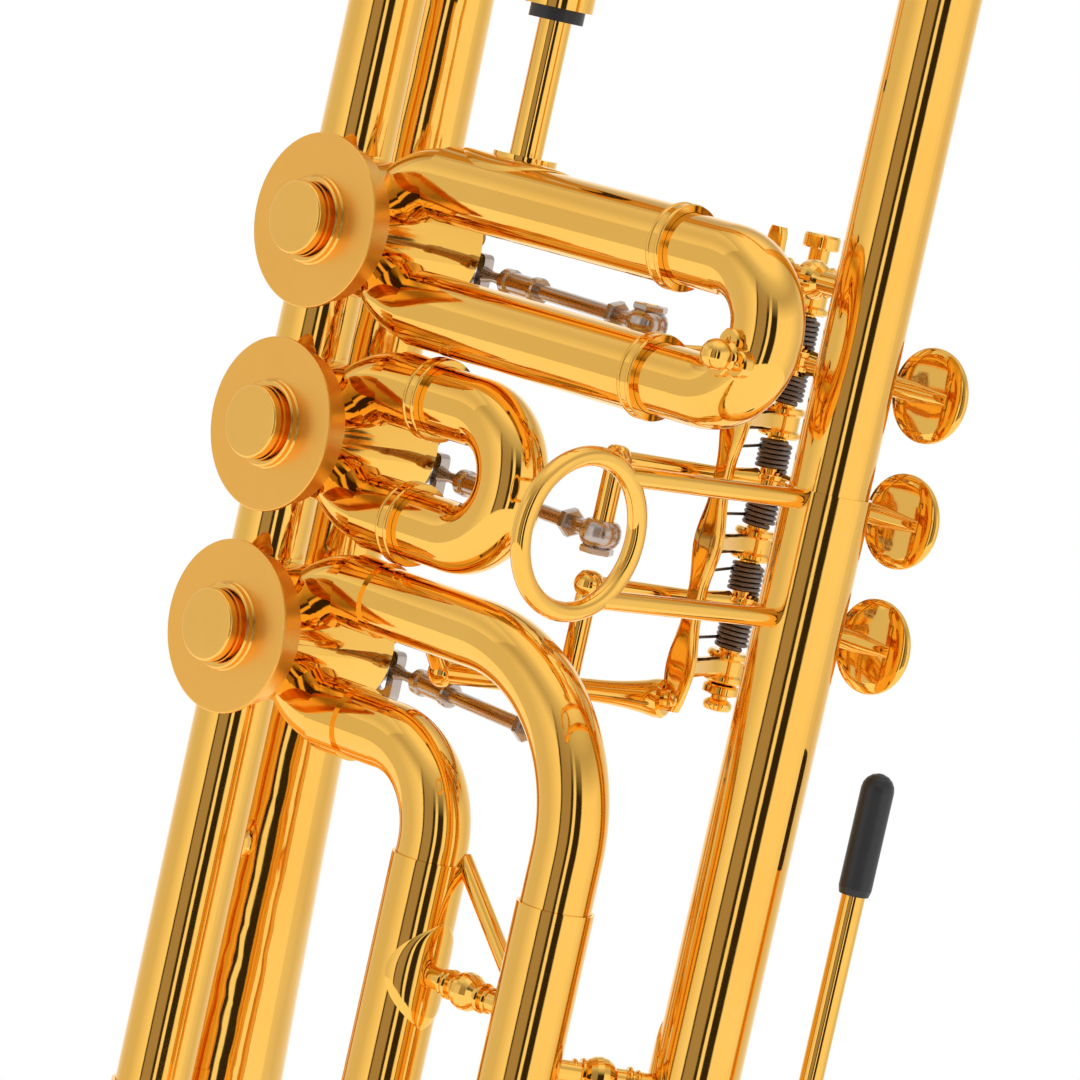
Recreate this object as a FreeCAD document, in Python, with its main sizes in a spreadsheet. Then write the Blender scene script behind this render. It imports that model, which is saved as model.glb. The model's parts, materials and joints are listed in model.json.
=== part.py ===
import FreeCAD, Part
import math
import os
import Sketcher

Vector = FreeCAD.Vector
Rotation = FreeCAD.Rotation

# Driving sizes in millimetres.  +Z runs up from the bell rim to the mouthpiece end, +X from the
# bell to the return tube and -Y towards the side that carries the valve caps.
SIZES = [
    # tubing
    ("tubeRadius", 6.0, "outside of the main line's plain tubing"),
    ("slideGap", 0.05, "running clearance of a slide leg in its sleeve"),
    ("tubeWall", 0.5, "wall of the tubing"),
    ("tubeBore", "=tubeRadius - tubeWall", "inside of the tubing"),
    ("outerWall", 0.55, "wall of the main line's outer sleeves"),
    ("sleeveRadius", "=tubeRadius + slideGap + outerWall", "outside of the outer sleeves"),
    ("slideTube", 5.4, "outside of the valve slides' tubing and knuckles"),
    ("slideWall", 0.45, "wall of the valve slides' tubing and sleeves"),
    ("slideBore", "=slideTube - slideWall", "inside of the valve slides' tubing"),
    ("slideSleeve", "=slideTube + slideGap + slideWall", "outside of the slides' sleeves"),
    ("ferruleRise", 0.5, "height of a ferrule over its sleeve"),
    ("ferruleWidth", 2.6, "width of a ferrule"),
    # valve block
    ("valveX", 20.0, "rotor axes"),
    ("planeY", -23.5, "middle plane of the valve tubing"),
    ("valveZ", 300.0, "second rotor axis"),
    ("valvePitch", 32.0, "distance between rotor axes"),
    ("casingRadius", 10.75, "outside of a casing"),
    ("rotorRadius", 9.25, "rotor body"),
    ("rotorGap", 0.05, "running clearance of a rotor"),
    ("casingFront", 11.0, "casing mouth ahead of the middle plane"),
    ("chamberBack", 11.0, "chamber end behind the middle plane"),
    ("casingWall", 2.0, "end wall of a casing"),
    ("plateThick", 2.5, "front bearing plate"),
    ("stemRadius", 2.5, "rotor stem"),
    ("stemGap", 0.05, "running clearance of a stem"),
    ("lineOffset", 8.2, "main line beside the rotor axes"),
    ("lineBend", 7.0, "bend of a main line knuckle"),
    ("lineRise", 0.35, "main line knuckle above the casing"),
    ("lineReach", "=casingRadius + lineRise", "start of a main line knuckle above the axis"),
    ("legOffset", 9.7, "half the spacing of a slide's legs"),
    ("legBend", 12.0, "bend of a slide knuckle"),
    ("legReach", 14.0, "start of a slide knuckle beside the axis"),
    ("collarLength", 3.0, "straight end of a slide knuckle"),
    ("passageRadius", 9.3, "bend of a rotor passage"),
    ("passageHalfWidth", 3.2, "half width of a rotor passage"),
    ("passageHalfHeight", 5.4, "half height of a rotor passage"),
    # valve caps
    ("capRadius", 13.5, "cap disc"),
    ("capThick", 1.6, "cap disc"),
    ("capFace", 13.0, "front of the disc ahead of the middle plane"),
    ("skirtRadius", 12.0, "threaded skirt"),
    ("skirtLength", 3.0, "threaded skirt"),
    ("buttonRadius", 5.7, "centre button"),
    ("buttonHeight", 4.4, "centre button"),
    ("buttonBase", 6.7, "ring under the button"),
    ("buttonBaseHeight", 1.5, "ring under the button"),
    # cranks, stops and links
    ("crankGap", 0.9, "casing wall to crank"),
    ("crankThick", 2.6, "crank hub and arms"),
    ("crankHub", 3.8, "crank hub"),
    ("crankRadius", 6.4, "rotor axis to crank pin"),
    ("crankPin", 1.0, "crank pin"),
    ("crankPinLength", 3.6, "crank pin"),
    ("stopReach", 7.6, "stop arm"),
    ("stopHalfWidth", 1.2, "stop arm"),
    ("corkRadius", 1.5, "stop cork"),
    ("corkCircle", 6.3, "rotor axis to stop cork"),
    ("corkGap", 0.15, "cork to stop arm at a limit"),
    ("linkRadius", 1.25, "link rod"),
    ("linkEye", 3.2, "link eye at the lever"),
    ("linkEyeHeight", 4.0, "link eye at the lever"),
    ("linkEndY", -5.2, "link end at the crank"),
    ("linkDrop", 4.5, "links below the rotor axes"),
    ("yokeThick", 2.0, "slotted end of a link"),
    ("yokeSlot", 1.6, "half width of the slot"),
    ("yokeWall", 1.5, "metal round the slot"),
    ("yokeTravel", 1.9, "dip of the crank pin at half stroke"),
    ("barrelStart", 9.0, "crank pin to the adjusting barrel"),
    ("barrelRadius", 2.2, "adjusting barrel on a link"),
    ("barrelLength", 11.0, "adjusting barrel on a link"),
    # lever rack
    ("axleX", 76.6, "lever axle"),
    ("axleY", 15.0, "lever axle"),
    ("axleRadius", 1.6, "lever axle"),
    ("axleGap", 0.05, "running clearance of a lever"),
    ("axleTop", 347.0, "upper end of the axle"),
    ("axleBottom", 274.6, "lower end of the axle"),
    ("axleKnobTall", 2.6, "turned knob under the axle's lower head"),
    ("axleHeadTall", 2.0, "axle's lower head"),
    ("axleCapTall", 2.6, "axle's upper head"),
    ("axleEdge", 0.2, "chamfer on the axle's heads"),
    ("axleKnob", 2.3, "knob under the axle"),
    ("axleHead", 2.9, "collars at the ends of the axle"),
    ("hubRadius", 3.4, "lever hub"),
    ("hubHeight", 3.0, "lever hub"),
    ("leverPitch", 19.3, "distance between lever hubs"),
    ("middleLeverZ", 308.0, "second lever hub"),
    ("armRadius", 1.3, "lever arms"),
    ("jointX", 72.3, "lever end of the links"),
    ("jointY", -14.0, "lever end of the links"),
    ("jointPin", 1.65, "post on the inner arm"),
    ("postTop", 2.0, "end of the post past its arm"),
    ("postFoot", 1.2, "end of the post past the link's eye"),
    ("eyeGap", 0.8, "inner arm to the link's eye along the post"),
    ("paddleX", 102.7, "centre of a finger plate"),
    ("paddleY", 17.0, "centre of a finger plate"),
    ("paddleRadius", 7.25, "finger plate"),
    ("paddleThick", 1.6, "finger plate"),
    ("dishDepth", 0.7, "hollow of a finger plate"),
    ("paddleEdge", 0.4, "bevel of a finger plate"),
    ("armSink", 1.5, "outer arm inside the edge of its finger plate"),
    ("postHeight", 5.0, "rack post along the axle"),
    ("postWidth", 5.0, "rack post across"),
    ("barX", 77.4, "edge of the rack bar beside the inner arms"),
    ("barWidth", 5.0, "rack bar"),
    ("barThick", 1.6, "rack bar"),
    ("barY", 0.7, "front face of the rack bar"),
    ("barBottom", 272.0, "lower end of the rack bar"),
    ("barTop", 347.0, "upper end of the rack bar"),
    ("springRoom", 1.0, "outside of a lever spring beyond the axle"),
    ("springRadius", "=axleRadius + springRoom", "lever spring"),
    ("springWire", 0.7, "wire of a lever spring"),
    # slides
    ("firstCrookX", 95.5, "centre of the first slide's bow"),
    ("firstSleeveEnd", 86.5, "mouth of the first slide's sleeves"),
    ("secondCrookX", 51.5, "centre of the second slide's bow"),
    ("secondSleeveEnd", 43.4, "mouth of the second slide's sleeves"),
    ("thirdInnerX", 61.5, "third slide's near leg"),
    ("thirdOuterX", 89.2, "third slide's far leg"),
    ("thirdInnerBend", 14.0, "bend above the near leg"),
    ("thirdOuterBend", 27.0, "bend above the far leg"),
    ("thirdRing", 6.0, "ring where the third slide's tubing starts"),
    ("thirdSleeveTop", 243.0, "top of the third slide's sleeves"),
    ("thirdSleeveEnd", 195.0, "mouth of the third slide's sleeves"),
    ("thirdCrookZ", 189.0, "centre of the third slide's bow"),
    ("legInSleeve", 44.0, "length of a long slide's leg inside its sleeve"),
    ("shortLegInSleeve", 6.2, "length of the second slide's leg inside its sleeve"),
    ("tubeOverlap", 3.0, "tube soldered into a sleeve"),
    ("pullKnob", 2.3, "ball of a pull knob"),
    ("pullPlate", 2.9, "pull knob's foot plate, radius"),
    ("pullPlateThick", 1.6, "pull knob's foot plate"),
    ("pullNeck", 0.8, "slope from the foot plate to the stem"),
    ("pullStem", 1.5, "stem of a pull knob"),
    ("pullHeight", 4.6, "stem of a pull knob"),
    ("knobAngle", 20.0, "pull knob below the level of the rotor, round the bow"),
    ("knobSink", 1.2, "foot of the pull knob under the crest of its bow"),
    # main tuning slide, return tube and rear bow
    ("returnX", 102.6, "return tube"),
    ("returnY", 0.0, "return tube"),
    ("returnJoint", 311.0, "lip where the return tube enters its sleeve"),
    ("lineJoint", 192.0, "lip where the main line enters its sleeve"),
    ("tuningSleeveEnd", 149.0, "mouth of the tuning slide's sleeves"),
    ("tuningCrookZ", 135.0, "centre of the tuning slide's bow"),
    ("tuningLeg", 50.0, "tuning slide's leg above its bow"),
    ("bowZ", 450.0, "foot of the rear bow"),
    # bell
    ("bellRim", 64.0, "bell radius at the rim"),
    ("bellLead", 16.0, "offset of the flare formula"),
    ("bellPower", 0.68, "exponent of the flare formula"),
    ("bellWall", 0.6, "bell metal"),
    ("rimWire", 1.3, "wire rolled into the rim"),
    # leadpipe and receiver
    ("receiverFoot", 498.0, "foot of the mouthpiece receiver"),
    ("receiverTop", 532.0, "mouth of the mouthpiece receiver"),
    ("receiverBore", 4.85, "bore of the mouthpiece receiver"),
    ("receiverDepth", 24.0, "depth of the mouthpiece bore"),
    ("receiverFerrule", 0.9, "receiver's foot beyond the leadpipe"),
    ("receiverCollar", 3.0, "straight foot of the receiver"),
    ("receiverRim", 6.0, "straight mouth ring of the receiver"),
    ("receiverStep", 1.0, "length of each step on the receiver"),
    ("receiverCut", 0.5, "receiver's shank below its mouth ring"),
    ("receiverRadius", 6.9, "outside of the mouthpiece receiver"),
    ("leadTop", 5.6, "leadpipe at the receiver"),
    ("leadBore", 4.4, "leadpipe bore at the receiver"),
    # thumb ring, stays and braces
    ("ringRadius", 11.3, "thumb ring to the middle of its wire"),
    ("ringWire", 1.45, "wire of the thumb ring"),
    ("ringY", -49.5, "centre of the thumb ring"),
    ("ringZ", 300.4, "centre of the thumb ring"),
    ("ringLeg", 9.0, "half the spacing of the thumb ring's legs"),
    ("stayX", 45.0, "rear stay"),
    ("stayY", -19.5, "rear stay"),
    ("stayRadius", 2.5, "rear stay"),
    ("flangeZ", 373.0, "screw flange of the rear stay"),
    ("flangeRadius", 5.3, "screw flange of the rear stay"),
    ("flangeThick", 1.4, "each half of the screw flange"),
    ("kneeRise", 50.0, "knee of the rear stay over its screw flange"),
    ("stayCollar", 4.9, "collar at the foot of the rear stay"),
    ("collarSink", 1.1, "half the height of the collar"),
    ("sealRadius", 4.2, "rubber ring of the rear stay"),
    ("sealHeight", 2.0, "rubber ring of the rear stay"),
    ("braceRadius", 1.7, "braces"),
    ("braceBall", 3.0, "ball on a brace"),
    ("thirdBraceZ", 226.0, "brace between the third slide's sleeves"),
    ("returnBraceZ", 219.0, "brace to the return tube"),
    ("lowBraceZ", 231.0, "lower bell brace"),
    ("rackStayZ", 340.6, "upper stay of the rack"),
    ("lowStayX", 44.0, "foot of the rack's lower stay"),
    ("lowStayY", -12.0, "knee of the rack's lower stay"),
    ("lowStayDrop", 5.5, "knee of the rack's lower stay under the foot of the bar"),
    ("highBraceZ", 392.0, "upper bell brace"),
    # water key
    ("keyAngle", 40.0, "direction of the water key round the return tube"),
    ("keyRodOut", 16.8, "rod beside the return tube"),
    ("keyRod", 1.8, "rod"),
    ("keyTop", 272.0, "upper end of the rubber tip"),
    ("tipLength", 18.5, "rubber tip"),
    ("tipRadius", 2.5, "rubber tip"),
    ("keyBendZ", 154.0, "foot of the straight rod"),
    ("keyPivotOut", 13.0, "pivot beside the return tube"),
    ("keyPivotZ", 141.0, "pivot"),
    ("keyHub", 2.6, "pivot hub"),
    ("keyHubLength", 5.0, "pivot hub"),
    ("keyPin", 1.0, "pivot pin"),
    ("keyPinGap", 0.05, "running clearance of the pivot"),
    ("lugThick", 1.4, "saddle lugs"),
    ("lugGap", 0.15, "hub to each lug"),
    ("bandThick", 0.7, "saddle band round the tube"),
    ("solderFilm", 0.02, "solder between the saddle and its tube"),
    ("bandEdge", 0.5, "band beyond the lugs at each end"),
    ("keyInset", 1.0, "lugs and nipple let into the tube's skin"),
    ("pinEnd", 0.6, "pivot pin past each lug"),
    ("keyArm", 1.4, "arm from the pivot to the pad cup"),
    ("cupThick", 1.6, "pad cup"),
    ("nippleZ", 129.0, "water nipple"),
    ("nippleRadius", 2.8, "water nipple"),
    ("nippleEnd", 9.2, "end of the nipple from the tube's axis"),
    ("padThick", 1.4, "cork pad"),
]

document = FreeCAD.newDocument("trumpet")
sheet = document.addObject("Spreadsheet::Sheet", "Sizes")
nodes = []


class Size:
    """A length that keeps both its number and the sheet expression it comes from."""

    def __init__(self, value, text):
        self.value = value
        self.text = text

    def combine(self, other, sign, value):
        return Size(value, "(%s %s %s)" % (self.text, sign, asSize(other).text))

    def __add__(self, other):
        return self.combine(other, "+", self.value + asSize(other).value)

    def __sub__(self, other):
        return self.combine(other, "-", self.value - asSize(other).value)

    def __mul__(self, factor):
        return self.combine(factor, "*", self.value * asSize(factor).value)

    def __neg__(self):
        return Size(-self.value, "(0 - %s)" % self.text)

    def __rmul__(self, factor):
        return asSize(factor) * self

    def __radd__(self, other):
        return asSize(other) + self

    def __rsub__(self, other):
        return asSize(other) - self


def asSize(number):
    if isinstance(number, Size):
        return number
    return Size(float(number), "(%r)" % float(number))


def fillSheet():
    for row, (name, value, note) in enumerate(SIZES, start=1):
        sheet.set("A%d" % row, name)
        sheet.set("B%d" % row, str(value))
        sheet.set("C%d" % row, note)
        sheet.setAlias("B%d" % row, name)
    document.recompute()
    return {name: Size(float(sheet.get(name)), "Sizes." + name) for name, _, _ in SIZES}


size = fillSheet()

# Turns that stand a shape's own Z axis along another direction.
UPRIGHT = Rotation()
ALONG_X = Rotation(Vector(0, 1, 0), 90)
ALONG_Y = Rotation(Vector(1, 0, 0), -90)
TOWARD_BLOCK = Rotation(Vector(0, 1, 0), -90)
FRONT_PLANE = Rotation(Vector(1, 0, 0), 90)


def bind(shape, prop, length):
    setattr(shape, prop, asSize(length).value)
    shape.setExpression(prop, asSize(length).text)


def place(shape, at, turn):
    at = [asSize(value) for value in at]
    shape.Placement = FreeCAD.Placement(Vector(*[value.value for value in at]), turn)
    for axis, value in zip("xyz", at):
        shape.setExpression("Placement.Base." + axis, value.text)
    return shape


def keep(shape, label):
    shape.Label = label
    nodes.append(shape)
    return shape


def cylinder(radius, length, at, turn=UPRIGHT):
    shape = document.addObject("Part::Cylinder", "cylinder")
    bind(shape, "Radius", radius)
    bind(shape, "Height", length)
    return place(shape, at, turn)


def ball(radius, at, turn=UPRIGHT):
    shape = document.addObject("Part::Sphere", "ball")
    bind(shape, "Radius", radius)
    return place(shape, at, turn)


def block(lengths, at, turn=UPRIGHT):
    shape = document.addObject("Part::Box", "block")
    for prop, length in zip(("Length", "Width", "Height"), lengths):
        bind(shape, prop, length)
    return place(shape, at, turn)


def torusArc(bend, radius, start, sweep, at, turn=FRONT_PLANE):
    shape = document.addObject("Part::Torus", "arc")
    bind(shape, "Radius1", bend)
    bind(shape, "Radius2", radius)
    shape.Angle3 = sweep
    return place(shape, at, turn * Rotation(Vector(0, 0, 1), start))


def fuse(shapes):
    shape = document.addObject("Part::MultiFuse", "fuse")
    shape.Shapes = shapes
    return shape


def cut(base, tools):
    shape = document.addObject("Part::Cut", "cut")
    shape.Base = base
    shape.Tool = tools[0] if len(tools) == 1 else fuse(tools)
    return shape


def group(shapes):
    shape = document.addObject("Part::Compound", "group")
    shape.Links = shapes
    return shape


def pipe(outer, inner, length, at, turn=UPRIGHT):
    return cut(cylinder(outer, length, at, turn), [cylinder(inner, length, at, turn)])


def sleeve(outer, leg, mouth, length, turn=UPRIGHT):
    """An outer sleeve for a leg of that radius, with a ferrule round its mouth."""
    tube = cylinder(outer, length, mouth, turn)
    ferrule = cylinder(outer + size["ferruleRise"], size["ferruleWidth"], mouth, turn)
    bore = cylinder(leg + size["slideGap"], length, mouth, turn)
    return cut(fuse([tube, ferrule]), [bore])


def mainSleeve(x, y, top):
    bottom = size["tuningSleeveEnd"]
    return sleeve(size["sleeveRadius"], size["tubeRadius"], (x, y, bottom), top - bottom)


def slideSleeve(mouth, length, turn=UPRIGHT):
    return sleeve(size["slideSleeve"], size["slideTube"], mouth, length, turn)


def span(start, end):
    a, b = (Vector(*[asSize(value).value for value in point]) for point in (start, end))
    return b - a


def turnAlong(direction):
    return Rotation(Vector(0, 0, 1), direction)


def rod(radius, start, end):
    """A round bar from one point to another, with its length read from the two ends."""
    way = span(start, end)
    return cylinder(radius, way.Length, start, turnAlong(way))


def originPlane(body, role):
    return [item for item in body.Origin.OriginFeatures if item.Role == role][0]


def newSketch(body, role, name):
    sketch = body.newObject("Sketcher::SketchObject", name)
    sketch.AttachmentSupport = (originPlane(body, role), [""])
    sketch.MapMode = "FlatFace"
    return sketch


def constrain(sketch, kind, *values):
    """Add a sized constraint whose last value follows the sheet."""
    length = asSize(values[-1])
    index = sketch.addConstraint(Sketcher.Constraint(kind, *values[:-1], length.value))
    sketch.setExpression("Constraints[%d]" % index, length.text)


def bentTube(label, outer, inner, run, bend, sweep, tail, at, turn):
    """A hollow tube that starts along its own +X, bends towards its own -Z and runs on."""
    body = document.addObject("PartDesign::Body", label)
    spine = newSketch(body, "XZ_Plane", label + "_spine")
    angle = math.radians(sweep)
    radius = asSize(bend).value
    corner = Vector(asSize(run).value, 0, 0)
    centre = corner - Vector(0, radius, 0)
    leave = centre + Vector(math.sin(angle), math.cos(angle), 0) * radius
    finish = leave + Vector(math.cos(angle), -math.sin(angle), 0) * asSize(tail).value
    circle = Part.Circle(centre, Vector(0, 0, 1), radius)
    spine.addGeometry(Part.LineSegment(Vector(), corner))
    spine.addGeometry(Part.ArcOfCircle(circle, math.pi / 2 - angle, math.pi / 2))
    spine.addGeometry(Part.LineSegment(leave, finish))
    spine.addConstraint(Sketcher.Constraint("Coincident", 0, 1, -1, 1))
    spine.addConstraint(Sketcher.Constraint("Horizontal", 0))
    spine.addConstraint(Sketcher.Constraint("Tangent", 0, 2, 1, 2))
    spine.addConstraint(Sketcher.Constraint("Tangent", 1, 1, 2, 1))
    spine.addConstraint(Sketcher.Constraint("Horizontal" if sweep == 180 else "Vertical", 2))
    constrain(spine, "Distance", 0, run)
    constrain(spine, "Radius", 1, bend)
    constrain(spine, "Distance", 2, tail)
    section = newSketch(body, "YZ_Plane", label + "_section")
    for index, circleRadius in enumerate((outer, inner)):
        section.addGeometry(
            Part.Circle(Vector(), Vector(0, 0, 1), asSize(circleRadius).value))
        section.addConstraint(Sketcher.Constraint("Coincident", index, 3, -1, 1))
        constrain(section, "Radius", index, circleRadius)
    sweepTube = body.newObject("PartDesign::AdditivePipe", label + "_pipe")
    sweepTube.Profile = section
    sweepTube.Spine = spine
    return keep(place(body, at, turn), label)


def lathe(label, outline, at, turn=UPRIGHT):
    """A turned solid: the outline's (radius, height) corners revolved about its own Z."""
    body = document.addObject("PartDesign::Body", label)
    sketch = newSketch(body, "XZ_Plane", label + "_outline")
    points = [Vector(asSize(r).value, asSize(z).value, 0) for r, z in outline]
    count = len(points)
    for index in range(count):
        sketch.addGeometry(Part.LineSegment(points[index], points[(index + 1) % count]))
    for index in range(count):
        after = (index + 1) % count
        sketch.addConstraint(Sketcher.Constraint("Coincident", index, 2, after, 1))
    for index, (radius, height) in enumerate(outline):
        constrain(sketch, "DistanceX", -1, 1, index, 1, radius)
        constrain(sketch, "DistanceY", -1, 1, index, 1, height)
    turned = body.newObject("PartDesign::Revolution", label + "_turned")
    turned.Profile = sketch
    turned.ReferenceAxis = (sketch, ["V_Axis"])
    turned.Angle = 360
    return place(body, at, turn)


def bead(radius, stem, middle):
    """Outline corners of a round bead on a stem, up the stem's own Z."""
    reach = math.sqrt(radius.value ** 2 - stem.value ** 2)
    first = math.atan2(stem.value, -reach)
    corners = []
    for step in range(7):
        angle = first + (math.pi - 2 * (math.pi - first)) * -step / 6.0
        corners.append((radius * math.sin(angle), middle + radius * math.cos(angle)))
    return corners


def turnedBrace(radius, beadRadius, start, end, share):
    """A turned stay between two points with one bead along it."""
    way = span(start, end)
    middle = asSize(way.Length * share)
    outline = [(0, 0), (radius, 0)] + bead(beadRadius, radius, middle)
    outline += [(radius, way.Length), (0, way.Length)]
    return lathe("brace", outline, start, turnAlong(way))


def turnTo(forward, inward):
    """The turn of a bent tube that starts forward and bends inward."""
    return Rotation(forward, Vector(), -inward, "XZY")


valveLine = size["valveX"] - size["lineOffset"]
planeY = size["planeY"]
casingMouthY = planeY - size["casingFront"]
chamberEndY = planeY + size["chamberBack"]
casingBackY = chamberEndY + size["casingWall"]
crankFaceY = casingBackY + size["crankGap"]
valveHeights = [size["valveZ"] + size["valvePitch"] * step for step in (1, 0, -1)]
leverHeights = [size["middleLeverZ"] + size["leverPitch"] * step for step in (1, 0, -1)]
firstZ, secondZ, thirdZ = valveHeights


def bellRadius(height):
    """Horn flare: the radius falls off as a power of the height above the rim."""
    lead = size["bellLead"].value
    return size["bellRim"].value * (lead / (height + lead)) ** size["bellPower"].value


def bell():
    wall = size["bellWall"].value
    top = size["bowZ"].value
    heights = [top * (step / 24.0) ** 2.2 for step in range(25)]
    outside = Part.BSplineCurve()
    outside.interpolate([Vector(bellRadius(height), 0, height) for height in heights])
    inside = Part.BSplineCurve()
    inside.interpolate([Vector(bellRadius(height) - wall, 0, height) for height in heights])
    ends = [(outside.StartPoint, inside.StartPoint), (outside.EndPoint, inside.EndPoint)]
    edges = [Part.Edge(outside), Part.Edge(inside)]
    edges += [Part.Edge(Part.LineSegment(a, b)) for a, b in ends]
    face = Part.Face(Part.Wire(Part.__sortEdges__(edges)))
    shape = document.addObject("Part::Feature", "bell")
    shape.Shape = face.revolve(Vector(), Vector(0, 0, 1), 360)
    keep(shape, "bell")
    wire = torusArc(size["bellRim"], size["rimWire"], 0, 360, (0, 0, size["rimWire"]), UPRIGHT)
    keep(cut(wire, [cylinder(size["bellRim"], size["rimWire"] * 2, (0, 0, 0))]), "bell_rim_wire")


def rearBow():
    """The half turn from the bell to the return tube, tapering to the plain tubing."""
    start = Vector(0, 0, size["bowZ"].value)
    end = Vector(size["returnX"].value, size["returnY"].value, size["bowZ"].value)
    crown = (start + end) * 0.5 + Vector(0, 0, (end - start).Length / 2)
    spine = Part.Wire([Part.Arc(start, crown, end).toShape()])
    skins = []
    for first, last in (
        (bellRadius(start.z), size["tubeRadius"].value),
        (bellRadius(start.z) - size["bellWall"].value, size["tubeBore"].value),
    ):
        shell = Part.BRepOffsetAPI.MakePipeShell(spine)
        for centre, radius in ((start, first), (end, last)):
            shell.add(Part.Wire([Part.makeCircle(radius, centre, Vector(0, 0, 1))]))
        shell.build()
        shell.makeSolid()
        skins.append(shell.shape())
    shape = document.addObject("Part::Feature", "rear_bow")
    shape.Shape = skins[0].cut(skins[1])
    keep(shape, "rear_bow")


def returnTubing():
    x, y = size["returnX"], size["returnY"]
    foot = size["returnJoint"] - size["tubeOverlap"]
    keep(pipe(size["tubeRadius"], size["tubeBore"], size["bowZ"] - foot, (x, y, foot)),
         "return_tube")
    keep(mainSleeve(x, y, size["returnJoint"]), "return_sleeve")


def mainLine():
    reach = size["lineReach"]
    spans = [(valveHeights[k + 1] + reach, valveHeights[k] - reach) for k in (0, 1)]
    keep(group([pipe(size["tubeRadius"], size["tubeBore"], top - bottom,
                     (valveLine, planeY, bottom)) for bottom, top in spans]), "valve_link_tubes")
    bottom = size["lineJoint"] - size["tubeOverlap"]
    top = thirdZ - reach
    keep(pipe(size["tubeRadius"], size["tubeBore"], top - bottom, (valveLine, planeY, bottom)),
         "main_line_tube")
    keep(mainSleeve(valveLine, planeY, size["lineJoint"]), "tuning_sleeve")


def leadpipe():
    foot = firstZ + size["lineReach"]
    length = size["receiverFoot"] - foot
    outline = [(size["tubeBore"], 0), (size["tubeRadius"], 0), (size["leadTop"], length),
               (size["leadBore"], length)]
    keep(lathe("leadpipe", outline, (valveLine, planeY, foot)), "leadpipe")
    height = size["receiverTop"] - size["receiverFoot"]
    step = height - size["receiverDepth"]
    base, collar = size["leadTop"] + size["receiverFerrule"], size["receiverCollar"]
    mouth, rim, ledge = size["receiverRadius"], size["receiverRim"], size["receiverStep"]
    outline = [(size["leadBore"], 0), (base, 0), (base, collar),
               (base - size["receiverCut"], collar + ledge),
               (mouth - size["receiverCut"], height - rim - ledge),
               (mouth, height - rim), (mouth, height),
               (size["receiverBore"], height), (size["receiverBore"], step),
               (size["leadBore"], step)]
    keep(lathe("mouthpiece_receiver", outline, (valveLine, planeY, size["receiverFoot"])),
         "mouthpiece_receiver")


def tuningSlide():
    """Two legs joined by a bow that spans from the main line to the return tube."""
    across = Vector((size["returnX"] - valveLine).value, (size["returnY"] - planeY).value, 0)
    bentTube("tuning_slide_bow", size["tubeRadius"], size["tubeBore"], size["tuningLeg"],
             across.Length / 2, 180, size["tuningLeg"],
             (valveLine, planeY, size["tuningCrookZ"] + size["tuningLeg"]),
             turnTo(Vector(0, 0, -1), across.normalize()))


def casing(number, z):
    """A valve casing with its two main line knuckles and its two slide knuckles."""
    x = size["valveX"]
    lineX = valveLine + size["lineBend"]
    legX = x + size["legReach"]
    drop = size["legBend"] - size["legOffset"]

    def knuckles(lineRadius, slideRadius):
        lineBend, legBend = size["lineBend"], size["legBend"]
        arcs = [
            torusArc(lineBend, lineRadius, 180, 45, (lineX, planeY, z + size["lineReach"])),
            torusArc(lineBend, lineRadius, 135, 45, (lineX, planeY, z - size["lineReach"])),
            torusArc(legBend, slideRadius, 90, 45, (legX, planeY, z - drop)),
            torusArc(legBend, slideRadius, 225, 45, (legX, planeY, z + drop)),
        ]
        collars = [cylinder(slideRadius, size["collarLength"],
                            (legX, planeY, z + size["legOffset"] * side), ALONG_X)
                   for side in (1, -1)]
        return arcs + collars

    shell = cylinder(size["casingRadius"], casingBackY - casingMouthY, (x, casingMouthY, z),
                     ALONG_Y)
    chamber = cylinder(size["rotorRadius"] + size["rotorGap"], chamberEndY - casingMouthY,
                       (x, casingMouthY, z), ALONG_Y)
    stemHole = cylinder(size["stemRadius"] + size["stemGap"], size["casingWall"],
                        (x, chamberEndY, z), ALONG_Y)
    body = fuse([shell] + knuckles(size["tubeRadius"], size["slideTube"]))
    bores = knuckles(size["tubeBore"], size["slideBore"])
    keep(cut(body, [chamber, stemHole] + bores), "valve_casing_%d" % number)


def rotor(number, z):
    """A plug with two quarter-turn passages, each joining two neighbouring ports."""
    label = "rotor_%d" % number
    endGap = 0.1
    front = casingMouthY + size["plateThick"] + endGap
    length = chamberEndY - front - endGap
    stemFront = size["plateThick"] - 0.3
    stemBack = size["casingWall"] + size["crankGap"] + size["crankThick"] + endGap
    outline = [(0, 0), (size["stemRadius"], 0), (size["stemRadius"], stemFront),
               (size["rotorRadius"], stemFront), (size["rotorRadius"], stemFront + length),
               (size["stemRadius"], stemFront + length),
               (size["stemRadius"], stemFront + length + stemBack),
               (0, stemFront + length + stemBack)]
    body = lathe(label, outline, (size["valveX"], front - stemFront, z), ALONG_Y)
    spread = size["passageRadius"] * math.sqrt(2)
    middle = planeY - front + stemFront
    for side in (-1, 1):
        sketch = newSketch(body, "XZ_Plane", "%s_passage" % label)
        centre = Vector(side * (spread - size["passageRadius"]).value, middle.value, 0)
        tall = Vector(centre.x, centre.y + size["passageHalfHeight"].value, 0)
        wide = Vector(centre.x + size["passageHalfWidth"].value, centre.y, 0)
        oval = sketch.addGeometry(Part.Ellipse(tall, wide, centre))
        axis = sketch.addGeometry(
            Part.LineSegment(Vector(side * spread.value, 0, 0),
                             Vector(side * spread.value, 20, 0)), True)
        sketch.addConstraint(Sketcher.Constraint("Block", oval))
        sketch.addConstraint(Sketcher.Constraint("Block", axis))
        groove = body.newObject("PartDesign::Groove", "%s_groove" % label)
        groove.Profile = sketch
        groove.ReferenceAxis = (sketch, ["Axis0"])
        groove.Angle = 360
    keep(body, label)


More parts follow.
